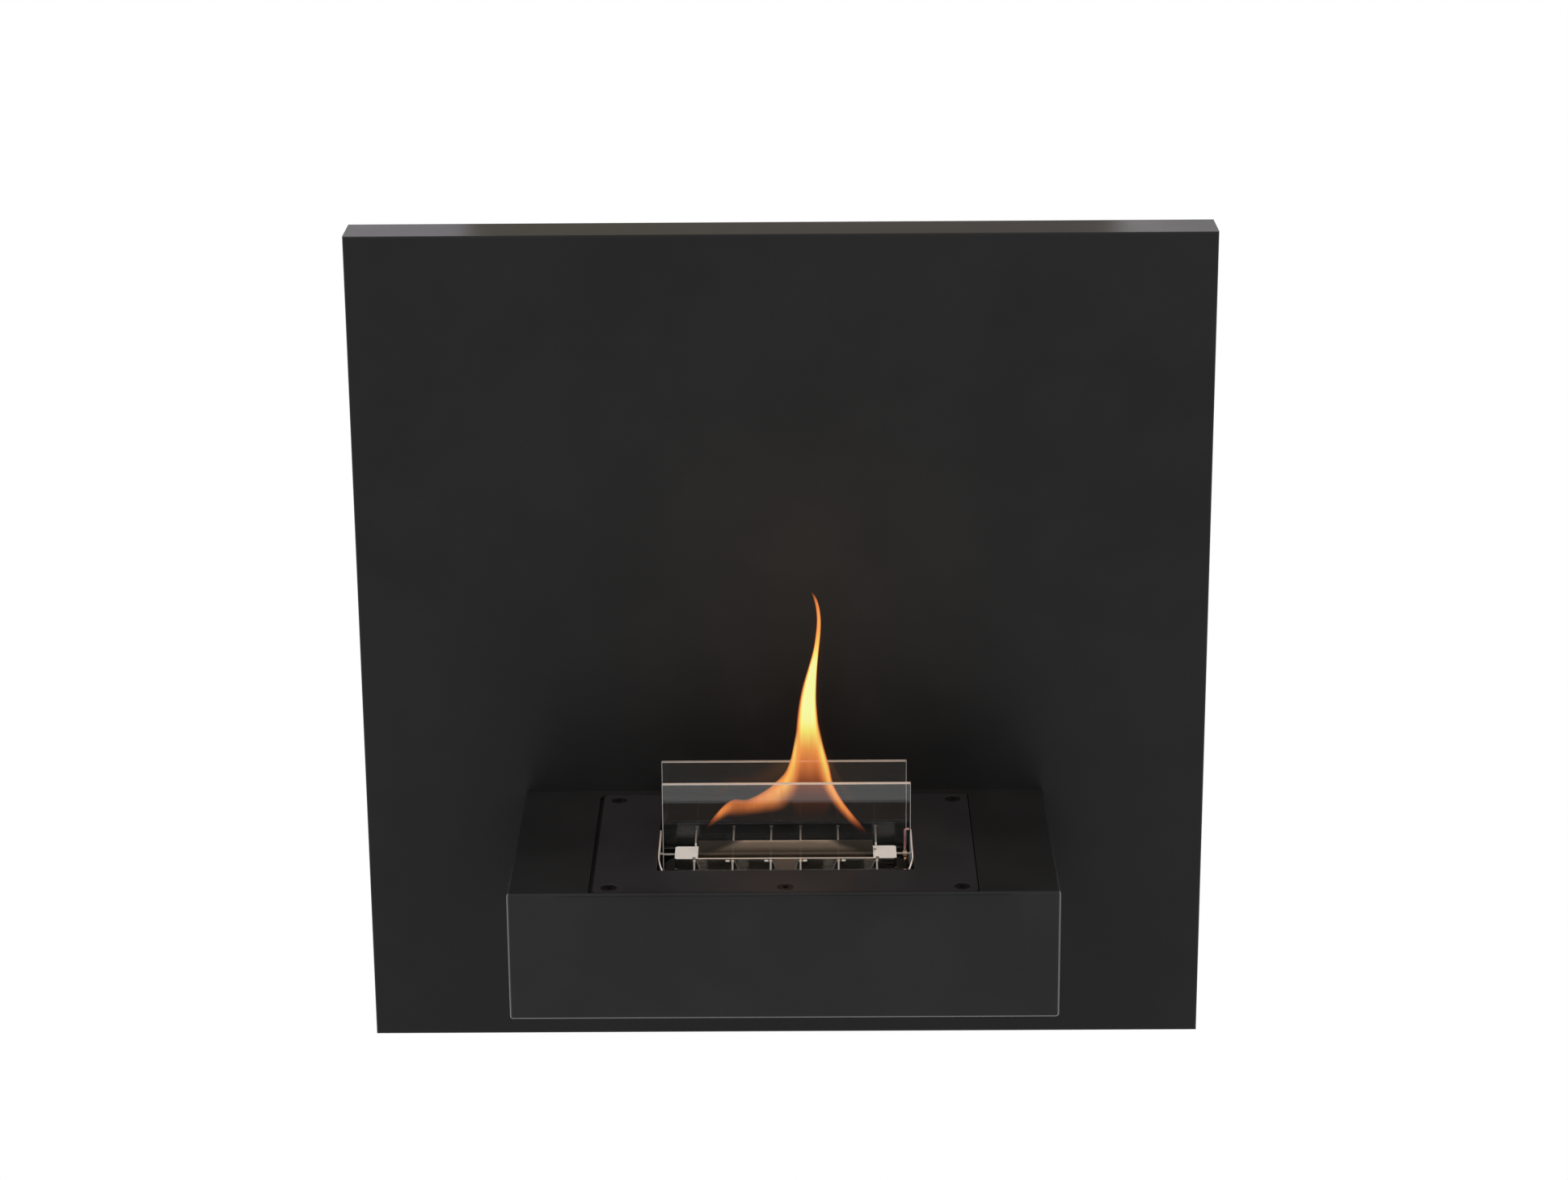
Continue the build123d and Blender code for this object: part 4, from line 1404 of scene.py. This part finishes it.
# ------------------------------------------------------------------------------ flame
@dataclass(frozen=True)
class Tongue:
    """One tongue of flame: its left and right edges at rising places along it.

    Each station is (left x, left z, right x, right z, heat, veil): the edges in millimetres from
    the burner's middle and from the shelf's top, how hot the middle is and how solid it looks.
    The heat and the veil fall off towards each edge over a share of the tongue's half width.
    """

    name: str
    stations: tuple[tuple[float, float, float, float, float, float], ...]
    depth_share: float = 0.55
    rim_heat: float = 0.38
    heat_edges: tuple[float, float] = (0.55, 0.35)
    veil_edges: tuple[float, float] = (0.22, 0.16)
    most_solid: float = 0.998
    sway: float = 0.0

    def colour_at(self, across: float, heat: float, veil: float) -> tuple[float, float]:
        """Works out the glow at a place across the tongue.

        Args:
            across: from -1 at the left edge to 1 at the right.
            heat: the station's heat.
            veil: the station's solidity, as seen through both sides of the tongue.

        Returns:
            The heat there, and the solidity of one side.
        """
        warm = eased((across + 1) / self.heat_edges[0]) * eased((1 - across) / self.heat_edges[1])
        dense = eased((across + 1) / self.veil_edges[0]) * eased((1 - across) / self.veil_edges[1])
        rim = min(heat, self.rim_heat)
        return rim + (heat - rim) * warm, 1.0 - math.sqrt(1.0 - self.most_solid * veil * dense)


@dataclass
class Flame:
    """The flame: see-through glowing tongues that rise from the slot."""

    shop: Workshop
    rows_per_station: int = 7
    sides: int = 36
    closed_share: float = 0.01
    closed_drop: float = 9.0
    tongues: tuple[Tongue, ...] = (
        Tongue("plume", (
            (10.0, 20.0, 30.0, 20.0, 0.10, 0.00),
            (4.0, 34.0, 36.0, 33.0, 0.22, 0.10),
            (4.5, 46.0, 34.6, 45.0, 0.32, 0.24),
            (5.0, 58.0, 32.0, 57.0, 0.42, 0.56),
            (6.6, 70.0, 30.6, 69.5, 0.52, 0.78),
            (8.5, 82.0, 28.4, 82.0, 0.68, 0.92),
            (9.9, 97.0, 26.2, 97.0, 0.88, 1.00),
            (11.8, 112.0, 25.0, 112.0, 1.00, 1.00),
            (14.7, 126.0, 25.0, 126.0, 1.00, 1.00),
            (18.9, 140.5, 25.6, 140.5, 0.97, 1.00),
            (22.5, 154.0, 26.7, 154.0, 0.74, 1.00),
            (24.4, 166.0, 27.9, 166.5, 0.62, 1.00),
            (25.3, 177.0, 28.2, 177.5, 0.58, 0.98),
            (24.6, 187.0, 27.0, 187.5, 0.50, 0.92),
            (22.9, 194.0, 24.6, 194.4, 0.42, 0.60),
            (21.0, 198.6, 21.3, 198.8, 0.25, 0.00)), sway=2.5),
        Tongue("left_tail", (
            (-58.5, 13.0, -58.0, 11.5, 0.10, 0.00),
            (-53.6, 21.2, -52.2, 16.8, 0.28, 0.38),
            (-48.0, 28.6, -45.8, 21.2, 0.52, 0.84),
            (-42.5, 34.2, -40.5, 23.6, 0.50, 0.80),
            (-36.5, 37.2, -35.0, 23.0, 0.43, 0.64),
            (-28.0, 36.4, -26.5, 23.4, 0.44, 0.68),
            (-18.5, 40.2, -14.0, 24.6, 0.52, 0.84),
            (-8.0, 47.5, 0.0, 27.0, 0.60, 0.93),
            (0.5, 56.0, 10.5, 38.5, 0.64, 0.95),
            (5.0, 67.0, 14.5, 55.5, 0.68, 0.92),
            (7.4, 78.0, 15.0, 73.0, 0.74, 0.80),
            (9.8, 92.0, 16.0, 90.0, 0.80, 0.00)),
            rim_heat=0.40, heat_edges=(0.35, 1.5), veil_edges=(0.2, 1.5), sway=-2.0),
        Tongue("right_tail", (
            (60.5, 7.0, 64.0, 8.0, 0.10, 0.00),
            (52.8, 12.5, 58.8, 14.5, 0.25, 0.24),
            (44.1, 21.5, 52.0, 23.0, 0.46, 0.84),
            (34.8, 33.0, 44.2, 34.5, 0.58, 0.97),
            (27.0, 47.0, 37.6, 48.0, 0.62, 0.97),
            (22.5, 62.0, 34.6, 62.5, 0.70, 0.95),
            (20.5, 78.0, 30.2, 78.5, 0.78, 0.85),
            (19.5, 96.0, 26.6, 96.0, 0.84, 0.00)),
            rim_heat=0.34, heat_edges=(1.5, 0.45), veil_edges=(1.6, 0.28), sway=1.5),
        Tongue("halo", (
            (18.0, 30.0, 46.0, 30.0, 0.05, 0.00),
            (12.0, 52.0, 43.0, 52.0, 0.10, 0.10),
            (7.0, 75.0, 37.0, 75.0, 0.10, 0.16),
            (6.0, 100.0, 31.5, 100.0, 0.10, 0.14),
            (12.0, 128.0, 30.0, 128.0, 0.10, 0.12),
            (20.0, 160.0, 32.0, 160.0, 0.08, 0.08),
            (20.0, 195.0, 30.0, 195.0, 0.05, 0.00)),
            rim_heat=0.05, heat_edges=(1.0, 1.0), veil_edges=(1.0, 1.0), sway=1.0),
    )

    def build(self) -> None:
        """Raises each tongue from the burner."""
        rim = slot_rim()
        for tongue in self.tongues:
            piece = self.raise_tongue(tongue, rim.y, shelf_top())
            hide_from(piece, Rays.SHADOW)
            self.shop.add(piece, FlameLight("flame_light"), Slot.GLASS)
            rim.z - mm(self.closed_drop)
            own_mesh(piece)

    def raise_tongue(self, tongue: Tongue, slot_y: float, top_z: float) -> bpy.types.Object:
        """Lofts a tongue through its stations, with lens-shaped sections.

        Args:
            tongue: the tongue.
            slot_y: the Y of the slot's middle.
            top_z: the height of the shelf's top.

        Returns:
            The new object, with its heat and veil layers.
        """
        mesh = bmesh.new()
        heat_layer = mesh.verts.layers.float.new(FlameLight.heat_layer)
        veil_layer = mesh.verts.layers.float.new(FlameLight.veil_layer)
        rings: list[list[bmesh.types.BMVert]] = []
        for place, (left_x, left_z, right_x, right_z, heat, veil) in self.smooth_rows(tongue):
            left = Vector((mm(left_x), 0.0, top_z + mm(left_z)))
            right = Vector((mm(right_x), 0.0, top_z + mm(right_z)))
            centre = (left + right) / 2
            half = (right - left) / 2
            bow = half.length * tongue.depth_share
            centre.y = slot_y + mm(tongue.sway) * math.sin(math.tau * place)
            ring = []
            for step in range(self.sides):
                turn = math.tau * step / self.sides
                across = math.cos(turn)
                vertex = mesh.verts.new(centre + half * across + Vector((0.0, bow * math.sin(turn), 0.0)))
                vertex[heat_layer], vertex[veil_layer] = tongue.colour_at(across, heat, veil)
                ring.append(vertex)
            rings.append(ring)
        skin(mesh, rings)
        return new_object(f"flame_{tongue.name}", mesh)

    def smooth_rows(self, tongue: Tongue) -> list[tuple[float, tuple[float, ...]]]:
        """Interpolates a tongue's stations smoothly.

        Args:
            tongue: the tongue.

        Returns:
            For each row, its place along the tongue from 0 to 1, and the station's six values there.
        """
        stations = tongue.stations
        rows: list[tuple[float, tuple[float, ...]]] = []
        last = len(stations) - 1
        for index in range(last):
            around = [stations[min(max(index + step, 0), last)] for step in (-1, 0, 1, 2)]
            for step in range(self.rows_per_station):
                share = step / self.rows_per_station
                *edges, heat, veil = (catmull(*knots, share) for knots in zip(*around))
                rows.append(((index + share) / last, (*edges, held(heat), held(veil))))
        rows.append((1.0, stations[-1]))
        return rows


def held(share: float) -> float:
    """Holds a share between 0 and 1."""
    return min(max(share, 0.0), 1.0)


def eased(share: float) -> float:
    """Rises smoothly from 0 to 1 as the share does."""
    return held(share) ** 2 * (3.0 - 2.0 * held(share))


def catmull(before: float, start: float, end: float, after: float, share: float) -> float:
    """A smooth curve through start and end.

    Args:
        before: the value before start.
        start: the value at share 0.
        end: the value at share 1.
        after: the value after end.
        share: how far from start to end.

    Returns:
        The value there.
    """
    slope_in = (end - before) / 2
    slope_out = (after - start) / 2
    square, cube = share ** 2, share ** 3
    return ((2 * cube - 3 * square + 1) * start + (cube - 2 * square + share) * slope_in
            + (3 * square - 2 * cube) * end + (cube - square) * slope_out)


# ------------------------------------------------------------------------------ studio
@dataclass(frozen=True)
class View:
    """Where the photograph was taken from, and through which lens; angles are in degrees."""

    place: Point = (15.95, -2770.3, 655.2)
    down: float = 17.976
    turned_left: float = 0.319
    rolled: float = -0.414
    lens: float = 86.18
    sensor: float = 36.0
    nearest: float = 50.0
    farthest: float = 60000.0

    def axes(self) -> tuple[Vector, Vector, Vector]:
        """Works out the camera's right, up and forward directions.

        Returns:
            The three unit vectors.
        """
        down, turn, roll = (math.radians(angle) for angle in (self.down, -self.turned_left, self.rolled))
        ahead = Vector((math.sin(turn), math.cos(turn), 0.0))
        forward = ahead * math.cos(down) - Vector((0.0, 0.0, math.sin(down)))
        level = Vector((math.cos(turn), -math.sin(turn), 0.0))
        upright = level.cross(forward)
        right = math.cos(roll) * level + math.sin(roll) * upright
        return right, math.cos(roll) * upright - math.sin(roll) * level, forward

    def build(self) -> None:
        """Puts the camera into the scene."""
        data = bpy.data.cameras.new("photo_view")
        data.sensor_fit = "HORIZONTAL"
        data.sensor_width = self.sensor
        data.lens = self.lens
        data.clip_start = mm(self.nearest)
        data.clip_end = mm(self.farthest)
        camera = bpy.data.objects.new("photo_view", data)
        right, up, forward = self.axes()
        turned = Matrix((right, up, -forward)).transposed().to_4x4()
        camera.matrix_world = Matrix.Translation(Vector(self.place) * MM) @ turned
        bpy.context.scene.collection.objects.link(camera)
        bpy.context.scene.camera = camera


def hang_lamp(data: bpy.types.Light, place: Vector) -> bpy.types.Object:
    """Hangs a lamp that shows neither to the camera nor in gloss or glass.

    Args:
        data: the lamp's own settings.
        place: where it hangs.

    Returns:
        The lamp.
    """
    lamp = bpy.data.objects.new(data.name, data)
    lamp.location = place
    hide_from(lamp, Rays.CAMERA, Rays.GLOSSY, Rays.TRANSMISSION)
    bpy.context.scene.collection.objects.link(lamp)
    return lamp


@dataclass(frozen=True)
class Softbox:
    """A large soft white lamp."""

    name: str
    place: Point
    aim: Point
    width: float
    watts: float

    def build(self) -> None:
        """Hangs the lamp, aimed at a point."""
        data = bpy.data.lights.new(self.name, "AREA")
        data.shape = "SQUARE"
        data.size = mm(self.width)
        data.energy = self.watts
        place = Vector(self.place) * MM
        towards = Vector(self.aim) * MM - place
        lamp = hang_lamp(data, place)
        lamp.rotation_euler = towards.to_track_quat("-Z", "Y").to_euler()


@dataclass(frozen=True)
class FlameLamp:
    """The light that the flame gives what stands round it."""

    right_of_middle: float = 14.0
    above_shelf: float = 172.0
    radius: float = 18.0
    watts: float = 0.5
    colour: Colour = (1.0, 0.48, 0.16)

    def build(self) -> None:
        """Hangs the lamp in the flame."""
        data = bpy.data.lights.new("flame_lamp", "POINT")
        data.energy = self.watts
        data.color = self.colour
        data.shadow_soft_size = mm(self.radius)
        rim, height = slot_rim(), shelf_top() + mm(self.above_shelf)
        hang_lamp(data, Vector((rim.x + mm(self.right_of_middle), rim.y, height)))


@dataclass(frozen=True)
class Flag:
    """A card out of the camera's sight, seen only in reflections; its two corners share a Y or a Z."""

    name: str
    low: Point
    high: Point
    cloth: FlagCloth

    def build(self) -> None:
        """Puts up the card."""
        low, high = Vector(self.low) * MM, Vector(self.high) * MM
        mesh = bmesh.new()
        corners = ((low.x, low.y, low.z), (high.x, low.y, low.z),
                   (high.x, high.y, high.z), (low.x, high.y, high.z))
        mesh.faces.new([mesh.verts.new(corner) for corner in corners])
        card = new_object(self.name, mesh, smooth=False)
        dress(card, self.cloth.material())
        hide_from(card, Rays.CAMERA, Rays.DIFFUSE, Rays.SHADOW)
        card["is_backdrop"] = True


@dataclass(frozen=True)
class Studio:
    """White surroundings, a pale floor, soft lamps, flags and the flame's own light."""

    floor_drop: float = 260.0
    floor_half: float = 6000.0
    ambient: float = 0.62
    softboxes: tuple[Softbox, ...] = (
        Softbox("key_softbox", (-1600.0, -2400.0, 2200.0), (0.0, -100.0, -200.0), 1800.0, 60.0),
        Softbox("fill_softbox", (2000.0, -2000.0, 900.0), (0.0, -100.0, -300.0), 1600.0, 22.0),
        Softbox("back_softbox", (600.0, 1800.0, 1700.0), (0.0, 0.0, -200.0), 1600.0, 30.0))
    flags: tuple[Flag, ...] = (
        Flag("front_flag", (-165.0, -297.0, -393.0), (165.0, -255.0, -393.0),
             FlagCloth("front_cloth", ((0.0, (0.06, 0.042, 0.026)),))),
        Flag("top_flag", (-380.0, 60.0, 52.0), (380.0, 60.0, 400.0), FlagCloth("top_cloth", (
            (-251.0, (1.37, 1.32, 1.39)), (-232.0, (0.48, 0.42, 0.34)), (247.0, (0.5, 0.43, 0.38)),
            (272.0, (1.5, 1.44, 1.46)), (330.0, (1.32, 1.27, 1.3))))))

    def build(self) -> None:
        """Sets the colours' view, the world, the floor, the lamps, the flags and the camera."""
        bpy.context.scene.view_settings.view_transform = "Standard"
        self.surroundings()
        self.floor()
        for part in (*self.softboxes, *self.flags, FlameLamp(), View()):
            part.build()

    def surroundings(self) -> None:
        """Makes the world white where it is seen, and a plain soft light elsewhere."""
        world = bpy.data.worlds.new("white_surroundings")
        bpy.context.scene.world = world
        world.use_nodes = True
        book = ShaderBook(world.node_tree)
        light, white = (
            book.node("ShaderNodeBackground", None, {"Color": opaque(WHITE), "Strength": strength})
            for strength in (self.ambient, 1.0))
        book.surface(book.mixed(book.seen(), light, white), "ShaderNodeOutputWorld")

    def floor(self) -> None:
        """Lays the floor some way below the hanging panel."""
        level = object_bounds()[0].z - mm(self.floor_drop)
        mesh = bmesh.new()
        bmesh.ops.create_grid(mesh, x_segments=8, y_segments=8, size=mm(self.floor_half))
        floor = new_object("studio_floor", mesh, smooth=False)
        floor.location.z = level
        dress(floor, PureWhiteStage("pale_floor").material())
        floor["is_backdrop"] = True


def main() -> None:
    """Builds the sub-assemblies in order."""
    logging.basicConfig(level=logging.INFO, format="%(name)s: %(message)s")
    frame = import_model()
    shop = Workshop(frame["nodes"])
    for assembly in (BackPanel(shop), Shelf(shop), Burner(shop), Snuffer(shop), GlassGuard(shop),
                     Flame(shop), Studio()):
        assembly.build()


if __name__ == "__main__":
    main()
